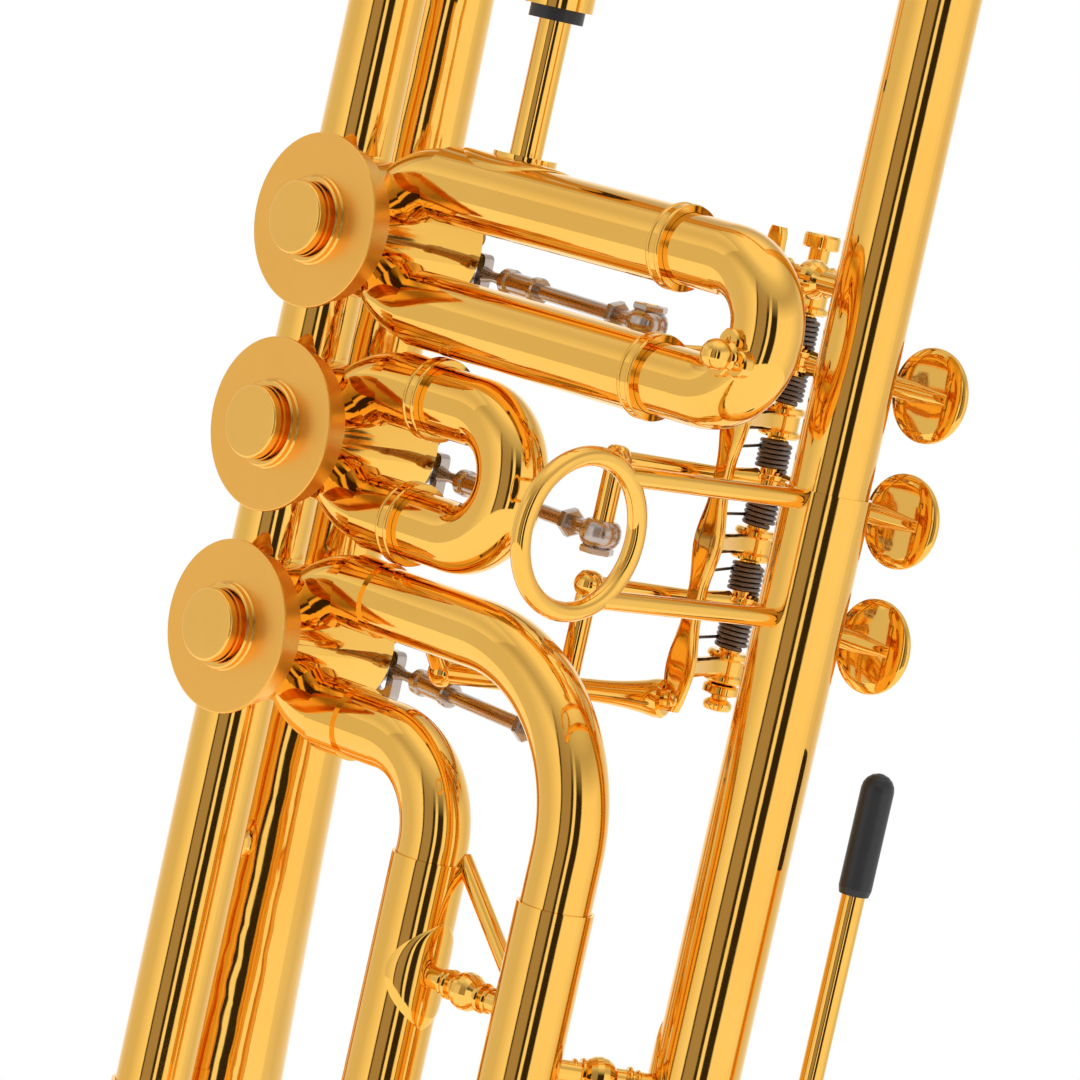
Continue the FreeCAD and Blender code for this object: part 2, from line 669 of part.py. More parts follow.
def crank(number, z):
    """Hub, crank pin and stop arm on the back end of a rotor."""
    x = size["valveX"]
    swing = size["crankRadius"] * math.sqrt(0.5)
    thick = size["crankThick"]
    pinAt = (x + swing, crankFaceY, z - swing)
    armTurn = ALONG_Y * Rotation(Vector(0, 0, 1), 45)
    width = size["stopHalfWidth"] * 2
    back = size["stopHalfWidth"] * math.sqrt(0.5)
    pinArm = block((size["crankRadius"], width, thick), (x + back, crankFaceY, z + back), armTurn)
    stopTurn = ALONG_Y * Rotation(Vector(0, 0, 1), 225)
    stopArm = block((size["stopReach"], width, thick), (x - back, crankFaceY, z - back), stopTurn)
    hub = cylinder(size["crankHub"], thick, (x, crankFaceY, z), ALONG_Y)
    boss = cylinder(size["crankPin"] + 0.9, thick, pinAt, ALONG_Y)
    pin = cylinder(size["crankPin"], thick + size["crankPinLength"], pinAt, ALONG_Y)
    stem = cylinder(size["stemRadius"], thick, (x, crankFaceY, z), ALONG_Y)
    keep(cut(fuse([hub, pinArm, stopArm, boss, pin]), [stem]), "rotor_crank_%d" % number)


def stopCorks():
    spread = size["stopHalfWidth"] + size["corkRadius"] + size["corkGap"]
    angle = math.radians(45) + math.asin(spread.value / size["corkCircle"].value)
    corks = []
    for z in valveHeights:
        for side in (-1, 1):
            at = (size["valveX"] + size["corkCircle"] * (side * math.sin(angle)), casingBackY,
                  z + size["corkCircle"] * math.cos(angle))
            corks.append(cylinder(size["corkRadius"], size["crankGap"] + size["crankThick"], at,
                                  ALONG_Y))
    keep(group(corks), "stop_corks")


def capAndPlate(number, z):
    x = size["valveX"]
    faceY = planeY - size["capFace"]
    mouth = size["capFace"] - size["casingFront"]
    skirtBore = size["casingRadius"] + 0.05
    height = size["buttonHeight"]
    outline = [(0, 0), (size["buttonRadius"] - 1.2, 0), (size["buttonRadius"], 1.0),
               (size["buttonRadius"], height - size["buttonBaseHeight"]),
               (size["buttonBase"], height - size["buttonBaseHeight"]),
               (size["buttonBase"], height),
               (size["capRadius"] - 0.4, height), (size["capRadius"], height + 0.4),
               (size["capRadius"], height + size["capThick"]),
               (size["skirtRadius"], height + size["capThick"]),
               (size["skirtRadius"], height + mouth + size["skirtLength"]),
               (skirtBore, height + mouth + size["skirtLength"]), (skirtBore, height + mouth),
               (0, height + mouth)]
    keep(lathe("valve_cap_%d" % number, outline, (x, faceY - height, z), ALONG_Y),
         "valve_cap_%d" % number)
    keep(pipe(size["rotorRadius"] + size["rotorGap"], size["stemRadius"] + size["stemGap"],
              size["plateThick"], (x, casingMouthY, z), ALONG_Y), "bearing_plate_%d" % number)


def straightSlide(label, z, sleeveEnd, crookX, inSleeve):
    """Two fixed sleeves along X and the bow that slides in them."""
    start = size["valveX"] + size["legReach"]
    pieces = []
    for side in (1, -1):
        mouth = (sleeveEnd, planeY, z + size["legOffset"] * side)
        pieces.append(slideSleeve(mouth, sleeveEnd - start, TOWARD_BLOCK))
    keep(group(pieces), label + "_sleeves")
    legStart = sleeveEnd - inSleeve
    run = crookX - legStart
    bentTube(label + "_bow", size["slideTube"], size["slideBore"], run, size["legOffset"], 180, run,
             (legStart, planeY, z + size["legOffset"]), turnTo(Vector(1, 0, 0), Vector(0, 0, -1)))


def pullKnob():
    """The little turned knob on the front of the first slide's bow."""
    height = size["pullHeight"]
    angle = math.radians(size["knobAngle"].value)
    foot = (size["firstCrookX"] + size["legOffset"] * math.cos(angle),
            planeY - size["slideTube"] + size["knobSink"],
            firstZ - size["legOffset"] * math.sin(angle))
    plate, thick = size["pullPlate"], size["pullPlateThick"]
    outline = [(0, 0), (plate, 0), (plate, thick), (size["pullStem"], thick + size["pullNeck"])]
    outline += bead(size["pullKnob"], size["pullStem"], height)
    outline += [(0, height + size["pullKnob"])]
    knob = lathe("knob", outline, foot, FRONT_PLANE)
    bow = torusArc(size["legOffset"], size["slideTube"], -90, 180,
                   (size["firstCrookX"], planeY, firstZ))
    keep(cut(knob, [bow]), "first_slide_knob")


def thirdSlide():
    start = size["valveX"] + size["legReach"]
    tubeStart = start + size["collarLength"]
    routes = (("third_slide_far_tube", 1, size["thirdOuterX"], size["thirdOuterBend"]),
              ("third_slide_near_tube", -1, size["thirdInnerX"], size["thirdInnerBend"]))
    rings = []
    sleeves = []
    length = size["thirdSleeveTop"] - size["thirdSleeveEnd"]
    for label, side, legX, bend in routes:
        z = thirdZ + size["legOffset"] * side
        tail = z - bend - size["thirdSleeveTop"] + size["tubeOverlap"]
        bentTube(label, size["slideTube"], size["slideBore"], legX - bend - tubeStart, bend, 90,
                 tail, (tubeStart, planeY, z), turnTo(Vector(1, 0, 0), Vector(0, 0, -1)))
        rings.append(pipe(size["slideSleeve"], size["slideTube"], size["thirdRing"],
                          (start, planeY, z), ALONG_X))
        sleeves.append(slideSleeve((legX, planeY, size["thirdSleeveEnd"]), length))
    keep(group(rings), "third_slide_rings")
    keep(group(sleeves), "third_slide_sleeves")
    top = size["thirdSleeveEnd"] + size["legInSleeve"]
    run = top - size["thirdCrookZ"]
    bentTube("third_slide_bow", size["slideTube"], size["slideBore"], run,
             (size["thirdOuterX"] - size["thirdInnerX"]) * 0.5, 180, run,
             (size["thirdInnerX"], planeY, top), turnTo(Vector(0, 0, -1), Vector(1, 0, 0)))


def lever(number, z, valveHeight):
    """Finger plate, hub and inner arm of one lever, with the post that drives its link."""
    axle = (size["axleX"], size["axleY"], z)
    linkZ = valveHeight - size["linkDrop"]
    eyeHalf = size["linkEyeHeight"] * 0.5
    clear = eyeHalf + size["armRadius"] + size["eyeGap"]
    armZ = z if (z - linkZ).value > clear.value else linkZ - clear
    half = size["hubHeight"] * 0.5
    hub = cylinder(size["hubRadius"], size["hubHeight"], (axle[0], axle[1], z - half))
    outer = rod(size["armRadius"], axle, (size["paddleX"] - size["paddleRadius"] + size["armSink"],
                                          size["paddleY"], z))
    inner = rod(size["armRadius"], axle, (size["jointX"], size["jointY"], armZ))
    thick, wide, edge = size["paddleThick"], size["paddleRadius"], size["paddleEdge"]
    plate = lathe("plate", [(0, 0), (wide - edge, 0), (wide, edge), (wide, thick - edge),
                            (wide - edge, thick), (0, thick - size["dishDepth"])],
                  (size["paddleX"], size["paddleY"] - thick * 0.5, z), ALONG_Y)
    above, below = size["postTop"], size["postFoot"]
    if armZ.value > linkZ.value:
        low, high = linkZ - eyeHalf - below, armZ + above
    else:
        low, high = armZ - above, linkZ + eyeHalf + below
    post = cylinder(size["jointPin"], high - low, (size["jointX"], size["jointY"], low))
    bore = cylinder(size["axleRadius"] + size["axleGap"], size["hubHeight"],
                    (axle[0], axle[1], z - half))
    keep(cut(fuse([hub, outer, inner, plate, post]), [bore]), "lever_%d" % number)


def link(number, valveHeight):
    """Rod from the lever's post to the rotor crank, with a slotted end round the crank pin."""
    z = valveHeight - size["linkDrop"]
    swing = size["crankRadius"] * math.sqrt(0.5)
    pinX = size["valveX"] + swing
    start = (size["jointX"], size["jointY"], z)
    end = (pinX, size["linkEndY"], z)
    half = size["linkEyeHeight"] * 0.5
    eye = cylinder(size["linkEye"], size["linkEyeHeight"], (start[0], start[1], z - half))
    bore = cylinder(size["jointPin"] + size["axleGap"], size["linkEyeHeight"],
                    (start[0], start[1], z - half))
    shaft = rod(size["linkRadius"], start, end)
    along = (start[0] - end[0]).value, (start[1] - end[1]).value
    length = math.hypot(*along)

    def onShaft(distance):
        share = distance / length
        return (end[0] + (start[0] - end[0]) * share, end[1] + (start[1] - end[1]) * share, z)

    barrelStart = size["barrelStart"].value
    barrel = rod(size["barrelRadius"], onShaft(barrelStart),
                 onShaft(barrelStart + size["barrelLength"].value))
    outerHalf = size["yokeSlot"] + size["yokeWall"]
    yokeBottom = size["yokeTravel"] + outerHalf
    yokeY = size["linkEndY"] - size["yokeThick"] * 0.5
    plate = block((outerHalf * 2, size["yokeThick"], outerHalf + yokeBottom),
                  (pinX - outerHalf, yokeY, z - yokeBottom))
    slotBottom = size["yokeTravel"] + size["yokeSlot"]
    room = size["barrelRadius"] * 2
    slot = block((size["yokeSlot"] * 2, size["yokeThick"] + room * 2,
                  size["yokeSlot"] + slotBottom),
                 (pinX - size["yokeSlot"], yokeY - room, z - slotBottom))
    keep(cut(fuse([eye, shaft, barrel, plate]), [bore, slot]), "link_%d" % number)


def leverRack():
    """Bar, bearing posts, axle and springs that carry the three levers."""
    x, y = size["axleX"], size["axleY"]
    pitch = size["leverPitch"]
    half = size["postHeight"] * 0.5
    posts = []
    holes = []
    for step in (1.5, 0.5, -0.5, -1.5):
        z = size["middleLeverZ"] + pitch * step - half
        posts.append(block((size["postWidth"], y - size["barY"], size["postHeight"]),
                           (size["barX"] - 1.5, size["barY"], z)))
        posts.append(cylinder(size["hubRadius"], size["postHeight"], (x, y, z)))
        holes.append(cylinder(size["axleRadius"], size["postHeight"], (x, y, z)))
    bar = block((size["barWidth"], size["barThick"], size["barTop"] - size["barBottom"]),
                (size["barX"], size["barY"], size["barBottom"]))
    keep(cut(fuse([bar] + posts), holes), "lever_rack")
    bottom = size["axleBottom"]
    length = size["axleTop"] - bottom
    knob, stem, head = size["axleKnob"], size["axleRadius"], size["axleHead"]
    tall, edge = size["axleKnobTall"], size["axleEdge"]
    headTop, capFoot = tall + size["axleHeadTall"], tall + length - size["axleCapTall"]
    top = tall + length
    outline = [(0, 0), (knob * 0.6, 0), (knob, edge * 5), (knob, tall - edge * 3), (stem, tall),
               (head, tall + edge), (head, headTop - edge), (stem, headTop), (stem, capFoot),
               (head, capFoot + edge), (head, top - edge * 2.5), (head - edge * 2.5, top), (0, top)]
    keep(lathe("lever_axle", outline, (x, y, bottom - tall)), "lever_axle")
    edge = 0.2
    length = pitch * 0.5 - half - size["hubHeight"] * 0.5 - 2 * edge
    offset = size["hubHeight"] * 0.5 + edge
    starts = [z + offset for z in leverHeights] + [z - offset - length for z in leverHeights]
    keep(group([pipe(size["springRadius"], size["springRadius"] - size["springWire"], length,
                     (x, y, start)) for start in starts]), "lever_springs")


def braces():
    radius, beadRadius = size["braceRadius"], size["braceBall"]
    sleeveSkin, slideSkin, tubeSkin = size["sleeveRadius"], size["slideSleeve"], size["tubeRadius"]
    reach = 20
    near = (size["thirdInnerX"], planeY)
    far = (size["thirdOuterX"], planeY)
    line = (valveLine, planeY)
    back = (size["returnX"], size["returnY"])
    horn = (0, 0)

    def brace(z, first, firstSkin, last, lastSkin, share):
        """A turned stay at one height, cut back to the skins of the two tubes it joins."""
        skins = [cylinder(skin, reach * 2, (place[0], place[1], z - reach))
                 for place, skin in ((first, firstSkin), (last, lastSkin))]
        return cut(turnedBrace(radius, beadRadius, (*first, z), (*last, z), share), skins)

    keep(brace(size["thirdBraceZ"], near, slideSkin, far, slideSkin, 0.5), "third_slide_brace")
    keep(brace(size["returnBraceZ"], far, slideSkin, back, sleeveSkin, 0.45), "return_brace")
    bells = [brace(z, line, tubeSkin, horn, asSize(bellRadius(z.value - radius.value)), 0.47)
             for z in (size["lowBraceZ"], size["highBraceZ"])]
    keep(group(bells), "bell_braces")
    z = size["rackStayZ"]
    head = (size["barX"] + size["barWidth"] * 0.5, size["barY"] + size["barThick"] * 0.5, z)
    tube = cylinder(tubeSkin, reach * 2, (back[0], back[1], z - reach))
    keep(cut(turnedBrace(radius, beadRadius, head, (*back, z), 0.42), [tube, rackSpace()]),
         "rack_top_stay")
    foot = (size["lowStayX"], planeY + size["slideTube"] - 1, thirdZ + size["legOffset"])
    head = (head[0], head[1], size["barBottom"] + radius)
    knee = (size["lowStayX"], size["lowStayY"], head[2] - size["lowStayDrop"])
    legTube = cylinder(size["slideTube"], reach * 2, (size["lowStayX"] - reach, planeY, foot[2]),
                       ALONG_X)
    stays = [rod(radius, foot, knee), rod(radius, knee, head),
             ball(radius + 0.7, knee, turnAlong(span(foot, knee)))]
    keep(cut(fuse(stays), [legTube, rackSpace()]), "rack_bottom_stay")


def rackSpace():
    return block((size["barWidth"], size["barThick"], size["barTop"] - size["barBottom"]),
                 (size["barX"], size["barY"], size["barBottom"]))


def rearStay():
    """Post from the first slide's upper sleeve to the rear bow, with its screw joint."""
    x, y = size["stayX"], size["stayY"]
    sleeveTop = firstZ + size["legOffset"]
    flange, plate = size["flangeZ"], size["flangeThick"]
    collar = sleeveTop + size["slideSleeve"] - size["collarSink"]
    lower = [cylinder(size["stayRadius"], flange - sleeveTop, (x, y, sleeveTop)),
             cylinder(size["stayCollar"], 2 * size["collarSink"], (x, y, collar)),
             cylinder(size["flangeRadius"], plate, (x, y, flange - plate))]
    seal = flange - plate - size["sealHeight"]
    reach = 20
    sleeve = cylinder(size["slideSleeve"], reach * 2, (x - reach, planeY, sleeveTop), ALONG_X)
    keep(cut(fuse(lower), [sleeve]), "rear_stay_post")
    keep(pipe(size["sealRadius"], size["stayRadius"], size["sealHeight"], (x, y, seal)),
         "rear_stay_seal")
    bowRadius = size["returnX"] * 0.5
    crown = size["bowZ"] + bowRadius
    knee = flange + size["kneeRise"]
    upper = [cylinder(size["flangeRadius"], plate, (x, y, flange)),
             cylinder(size["stayRadius"], size["kneeRise"], (x, y, flange)),
             rod(size["stayRadius"], (x, y, knee), (x, 0, crown)),
             ball(size["stayRadius"] + 0.05, (x, y, knee))]
    bow = torusArc(bowRadius, size["tubeRadius"] + 0.5, 0, 180, (bowRadius, 0, size["bowZ"]))
    keep(cut(fuse(upper), [bow]), "rear_stay_arm")


def thumbRing():
    x, y, z = size["returnX"], size["ringY"], size["ringZ"]
    ring = torusArc(size["ringRadius"], size["ringWire"], 0, 360, (x, y, z), ALONG_X)
    legs = []
    for side in (1, -1):
        legZ = z + size["ringLeg"] * side
        reach = math.sqrt(size["ringRadius"].value ** 2 - size["ringLeg"].value ** 2)
        legs.append(cylinder(size["ringWire"], size["returnY"] - y - reach, (x, y + reach, legZ),
                             ALONG_Y))
    tube = cylinder(size["sleeveRadius"], 4 * size["ringRadius"].value,
                    (x, size["returnY"], z - size["ringRadius"] * 2))
    keep(cut(fuse([ring] + legs), [tube]), "thumb_ring")


def waterKey():
    """Saddle, sprung lever, rubber tip and cork pad on the far leg of the tuning slide."""
    angle = math.radians(size["keyAngle"].value)
    out = Vector(math.cos(angle), math.sin(angle), 0)
    aside = Vector(-out.y, out.x, 0)
    outTurn = Rotation(Vector(0, 0, 1), out)
    asideTurn = Rotation(Vector(0, 0, 1), aside)
    keyTurn = Rotation(Vector(0, 0, 1), size["keyAngle"].value)

    def spot(distance, z, sideways=0):
        distance, sideways = asSize(distance), asSize(sideways)
        return (size["returnX"] + distance * out.x + sideways * aside.x,
                size["returnY"] + distance * out.y + sideways * aside.y, z)

    pivot, hub, pivotOut = size["keyPivotZ"], size["keyHub"], size["keyPivotOut"]
    half, lug = size["keyHubLength"] * 0.5, size["lugThick"]
    tube, inset = size["tubeRadius"], size["keyInset"]
    axis = (size["returnX"], size["returnY"])
    lugs = []
    for start in (half + size["lugGap"], -half - size["lugGap"] - lug):
        lugs.append(cylinder(hub, lug, spot(pivotOut, pivot, start), asideTurn))
        lugs.append(block((pivotOut - tube + inset, lug, hub * 2),
                          spot(tube - inset, pivot - hub, start), keyTurn))
    edge = size["bandEdge"]
    band = cylinder(tube + size["bandThick"], (hub + edge) * 2, (*axis, pivot - hub - edge))
    wall = cylinder(tube + size["solderFilm"], hub * 4, (*axis, pivot - hub * 2))
    reach = half + size["lugGap"] + lug + size["pinEnd"]
    pinHole = cylinder(size["keyPin"], reach * 2, spot(pivotOut, pivot, -reach), asideTurn)
    pin = cylinder(size["keyPin"], reach * 2, spot(pivotOut, pivot, -reach), asideTurn)
    keep(group([cut(fuse(lugs + [band]), [wall, pinHole]), pin]), "water_key_saddle")

    low, nipple, end = size["nippleZ"], size["nippleRadius"], size["nippleEnd"]
    stub = pipe(nipple, nipple - 1, end - tube + inset, spot(tube - inset, low), outTurn)
    bow = cylinder(tube, nipple * 4, (*axis, low - nipple * 2))
    keep(cut(stub, [bow]), "water_nipple")

    rodOut, bend, arm = size["keyRodOut"], size["keyBendZ"], size["keyArm"]
    padBack = end + size["padThick"]
    pieces = [rod(size["keyRod"], spot(rodOut, size["keyTop"] - 2), spot(rodOut, bend)),
              ball(size["keyRod"] + 0.05, spot(rodOut, bend)),
              rod(size["keyRod"], spot(rodOut, bend), spot(pivotOut, pivot)),
              cylinder(hub, half * 2, spot(pivotOut, pivot, -half), asideTurn),
              rod(arm, spot(pivotOut, pivot), spot(padBack + size["cupThick"], low)),
              cylinder(nipple + 0.4, size["cupThick"], spot(padBack, low), outTurn)]
    room = cylinder(size["keyPin"] + size["keyPinGap"], half * 2, spot(pivotOut, pivot, -half),
                    asideTurn)
    tall, radius = size["tipLength"], size["tipRadius"]
    tipSpace = cylinder(size["keyRod"] + 1, tall, spot(rodOut, size["keyTop"] - tall))
    keep(cut(fuse(pieces), [room, tipSpace]), "water_key_lever")
    keep(cylinder(nipple, size["padThick"], spot(end, low), outTurn), "water_key_cork")
    outline = [(0, 0), (radius * 0.9, 0), (radius, 1)]
    outline += [(radius * math.cos(turn), tall - radius + radius * math.sin(turn))
                for turn in (0, 0.35, 0.7, 1.05, 1.4)]
    outline += [(0, tall)]
    keep(lathe("water_key_tip", outline, spot(rodOut, size["keyTop"] - tall)), "water_key_tip")


def build():
    bell()
    rearBow()
    returnTubing()
    mainLine()
    leadpipe()
    tuningSlide()
    for number, z in enumerate(valveHeights, start=1):
        casing(number, z)
        rotor(number, z)
        crank(number, z)
        capAndPlate(number, z)
        lever(number, leverHeights[number - 1], z)
        link(number, z)
    stopCorks()
    straightSlide("first_slide", firstZ, size["firstSleeveEnd"], size["firstCrookX"],
                  size["legInSleeve"])
    straightSlide("second_slide", secondZ, size["secondSleeveEnd"], size["secondCrookX"],
                  size["shortLegInSleeve"])
    pullKnob()
    thirdSlide()
    leverRack()
    braces()
    rearStay()
    thumbRing()
    waterKey()


def check():
    faults = []
    for item in document.Objects:
        if "Invalid" in item.State or "Error" in item.State:
            faults.append("%s (%s) failed" % (item.Name, item.Label))
    for item in nodes:
        if item.Shape.isNull() or not item.Shape.isValid():
            faults.append(item.Label + " has no valid shape")
        elif item.Shape.Volume < 1:
            faults.append(item.Label + " is empty")
    if faults:
        raise RuntimeError("; ".join(faults))


def export():
    os.makedirs("parts", exist_ok=True)
    for item in nodes:
        item.Shape.exportStep("parts/%s.step" % item.Label)
        print("%-24s %3d solids %10.1f mm3" % (item.Label, len(item.Shape.Solids),
                                               item.Shape.Volume))


build()
document.recompute()
check()
export()
print(len(nodes), "nodes")
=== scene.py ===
import json
import math

import bmesh
import bpy
from mathutils import Matrix, Vector


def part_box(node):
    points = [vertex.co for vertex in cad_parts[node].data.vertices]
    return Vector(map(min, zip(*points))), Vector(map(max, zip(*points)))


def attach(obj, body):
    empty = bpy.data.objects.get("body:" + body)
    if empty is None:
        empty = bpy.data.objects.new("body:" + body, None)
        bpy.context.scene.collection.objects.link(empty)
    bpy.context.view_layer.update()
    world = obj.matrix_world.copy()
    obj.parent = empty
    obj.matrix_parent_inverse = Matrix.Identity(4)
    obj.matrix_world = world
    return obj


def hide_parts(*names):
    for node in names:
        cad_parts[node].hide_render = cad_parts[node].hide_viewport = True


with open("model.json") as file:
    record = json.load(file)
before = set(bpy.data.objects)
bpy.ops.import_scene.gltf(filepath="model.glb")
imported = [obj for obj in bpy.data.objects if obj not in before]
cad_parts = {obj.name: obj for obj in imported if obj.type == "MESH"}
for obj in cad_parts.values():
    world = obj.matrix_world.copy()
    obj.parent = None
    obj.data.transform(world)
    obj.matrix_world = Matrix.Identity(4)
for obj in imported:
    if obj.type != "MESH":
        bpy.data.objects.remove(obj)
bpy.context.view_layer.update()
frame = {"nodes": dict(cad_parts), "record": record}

nodes = frame["nodes"]
mm = 0.001
print("frame loaded:", len(nodes), "parts")


cameraView = {
    "azimuth": 44.594,  # degrees round the bell's axis
    "elevation": 5.812,
    "roll": 12.517,
    "distance": 0.900,  # from the aim point
    "lens": 180.3,
    "aimRight": 0.09426,  # aim point along the view's own axes
    "aimUp": 0.27201,
}


def viewAxes(azimuth, elevation, roll):
    back = Vector((math.sin(azimuth) * math.cos(elevation),
                   -math.cos(azimuth) * math.cos(elevation), math.sin(elevation)))
    level = Vector((math.cos(azimuth), math.sin(azimuth), 0))
    upright = back.cross(level)
    right = level * math.cos(roll) + upright * math.sin(roll)
    up = upright * math.cos(roll) - level * math.sin(roll)
    return right, up, back


def makeCamera(view):
    right, up, back = viewAxes(*(math.radians(view[name])
                                 for name in ("azimuth", "elevation", "roll")))
    lens = bpy.data.cameras.new("studio_camera")
    lens.lens = view["lens"]
    lens.sensor_width = 36
    lens.clip_start, lens.clip_end = 0.01, 50
    camera = bpy.data.objects.new("studio_camera", lens)
    place = right * view["aimRight"] + up * view["aimUp"] + back * view["distance"]
    turn = Matrix((right, up, back)).transposed().to_4x4()
    camera.matrix_world = Matrix.Translation(place) @ turn
    bpy.context.scene.collection.objects.link(camera)
    bpy.context.scene.camera = camera


makeCamera(cameraView)


class Value:  # one output socket, with arithmetic
    def __init__(self, paint, socket):
        self.paint = paint
        self.socket = socket

    def joined(self, operation, first, second):
        return self.paint.node("ShaderNodeMath", {"operation": operation}, {0: first, 1: second})

    def __add__(self, other):
        return self.joined("ADD", self, other)

    def __radd__(self, other):
        return self.joined("ADD", other, self)

    def __sub__(self, other):
        return self.joined("SUBTRACT", self, other)

    def __rsub__(self, other):
        return self.joined("SUBTRACT", other, self)

    def __mul__(self, other):
        return self.joined("MULTIPLY", self, other)

    def __rmul__(self, other):
        return self.joined("MULTIPLY", other, self)

    def __truediv__(self, other):
        return self.joined("DIVIDE", self, other)

    def __rtruediv__(self, other):
        return self.joined("DIVIDE", other, self)

    def __pow__(self, other):
        return self.joined("POWER", self, other)

    def __rpow__(self, other):
        return self.joined("POWER", other, self)


class Paint:  # the node tree of one finish
    def __init__(self, tree):
        self.tree = tree
        tree.nodes.clear()

    def node(self, kind, settings=None, sockets=None, output=0):
        made = self.tree.nodes.new(kind)
        for name, setting in (settings or {}).items():
            if name == "stops":
                self.setStops(made.color_ramp, setting)
            else:
                setattr(made, name, setting)
        for name, entry in (sockets or {}).items():
            if isinstance(entry, Value):
                self.tree.links.new(entry.socket, made.inputs[name])
            else:
                made.inputs[name].default_value = entry
        return Value(self, made.outputs[output]) if made.outputs else made

    def setStops(self, ramp, stops):
        ramp.elements[0].position = stops[0][0]
        ramp.elements[1].position = stops[-1][0]
        for place, colour in stops[1:-1]:
            ramp.elements.new(place)
        for element, (place, colour) in zip(ramp.elements, stops):
            element.color = (*colour, 1)

    def noise(self, scale, detail=2.0, roughness=0.5):
        where = self.node("ShaderNodeTexCoord", output="Object")
        return self.node("ShaderNodeTexNoise", None,
                         {"Vector": where, "Scale": scale, "Detail": detail,
                          "Roughness": roughness}, output=0)

    def blend(self, share, first, second):
        return self.node("ShaderNodeMix", {"data_type": "RGBA"},
                         {0: share, 6: first, 7: second}, output=2)

    def bump(self, height, strength, distance):
        return self.node("ShaderNodeBump", None,
                         {"Height": height, "Strength": strength, "Distance": distance})

    def surface(self, **sockets):
        names = {name.replace("_", " "): entry for name, entry in sockets.items()}
        shader = self.node("ShaderNodeBsdfPrincipled", None, names)
        self.node("ShaderNodeOutputMaterial", None, {"Surface": shader})


def newFinish(name):
    material = bpy.data.materials.new(name)
    material.use_nodes = True
    return material, Paint(material.node_tree)


def rgba(red, green, blue):
    return (red, green, blue, 1)


goldLook = {
    "colour": rgba(0.94, 0.565, 0.130),
    "warm": rgba(0.90, 0.48, 0.080),  # drifts to this in patches
    "patches": 38,
    "roughness": 0.045,
    "haze": 0.04,  # extra roughness where the polish is hazy
    "wave": 0.03,  # buffing waves in the mirror
}


def mirrorGold():
    material, paint = newFinish("mirror_gold_plate")
    drift = paint.noise(goldLook["patches"], 3)
    haze = paint.noise(170, 4, 0.65)
    wave = paint.noise(260, 2)
    paint.surface(
        Base_Color=paint.blend(drift, goldLook["colour"], goldLook["warm"]),
        Metallic=1.0,
        Roughness=goldLook["roughness"] + haze ** 3 * goldLook["haze"] * 3,
        Normal=paint.bump(wave, goldLook["wave"], 0.0004))
    return material


capFace = {
    "colour": rgba(0.97, 0.54, 0.120),
    "dark": rgba(0.90, 0.46, 0.085),
    "roughness": 0.27,
    "grain": 4200,
    "grainDepth": 0.10,
}

buttonFace = {
    "colour": rgba(0.96, 0.56, 0.130),
    "dark": rgba(0.92, 0.50, 0.100),
    "roughness": 0.10,
    "grain": 3000,
    "grainDepth": 0.05,
}


def satinGold(name, satinLook):
    material, paint = newFinish(name)
    grain = paint.noise(satinLook["grain"], 3, 0.7)
    cloud = paint.noise(90, 4, 0.6)
    paint.surface(
        Base_Color=paint.blend(cloud * 0.6 + grain * 0.4, satinLook["colour"],
                               satinLook["dark"]),
        Metallic=1.0,
        Roughness=satinLook["roughness"] + grain * 0.12,
        Normal=paint.bump(grain, satinLook["grainDepth"], 0.0001))
    return material


def steel(name, light, dark, roughness):
    material, paint = newFinish(name)
    stain = paint.noise(420, 4, 0.6)
    paint.surface(
        Base_Color=paint.blend(stain, light, dark),
        Metallic=1.0,
        Roughness=roughness + stain * 0.15,
        Normal=paint.bump(paint.noise(2600, 2), 0.08, 0.0001))
    return material


def rubber():
    material, paint = newFinish("satin_black_rubber")
    skin = paint.noise(1500, 3)
    paint.surface(
        Base_Color=paint.blend(paint.noise(60, 2), rgba(0.010, 0.010, 0.012),
                               rgba(0.022, 0.022, 0.024)),
        Metallic=0.0,
        Roughness=0.34 + skin * 0.16,
        Normal=paint.bump(skin, 0.18, 0.0001))
    return material


def cork():
    material, paint = newFinish("natural_cork")
    speck = paint.noise(1800, 5, 0.7)
    paint.surface(
        Base_Color=paint.blend(speck, rgba(0.62, 0.40, 0.22), rgba(0.28, 0.15, 0.07)),
        Metallic=0.0,
        Roughness=0.75 + speck * 0.2,
        Normal=paint.bump(speck, 0.5, 0.0002))
    return material


finishes = {
    "gold_plate": mirrorGold(),
    "satin_gold": satinGold("satin_gold_plate", capFace),
    "button_gold": satinGold("button_gold_plate", buttonFace),
    "rotor_brass": steel("turned_rotor_brass", rgba(0.80, 0.60, 0.28),
                         rgba(0.62, 0.43, 0.18), 0.22),
    "crank_steel": steel("crank_steel", rgba(0.56, 0.53, 0.50),
                         rgba(0.36, 0.31, 0.28), 0.18),
    "link_steel": steel("link_steel", rgba(0.60, 0.52, 0.47),
                        rgba(0.44, 0.35, 0.30), 0.14),
    "spring_steel": steel("dark_spring_steel", rgba(0.26, 0.20, 0.17),
                          rgba(0.09, 0.07, 0.06), 0.30),
    "black_rubber": rubber(),
    "cork": cork(),
}


def paintFrame():
    for row in frame["record"]["subparts"]:
        part = nodes[row["node"]]
        if not part.material_slots:
            part.data.materials.append(None)
        for slot in part.material_slots:
            slot.material = finishes[row["material_slot"]]


paintFrame()
print("finishes made:", len(finishes))


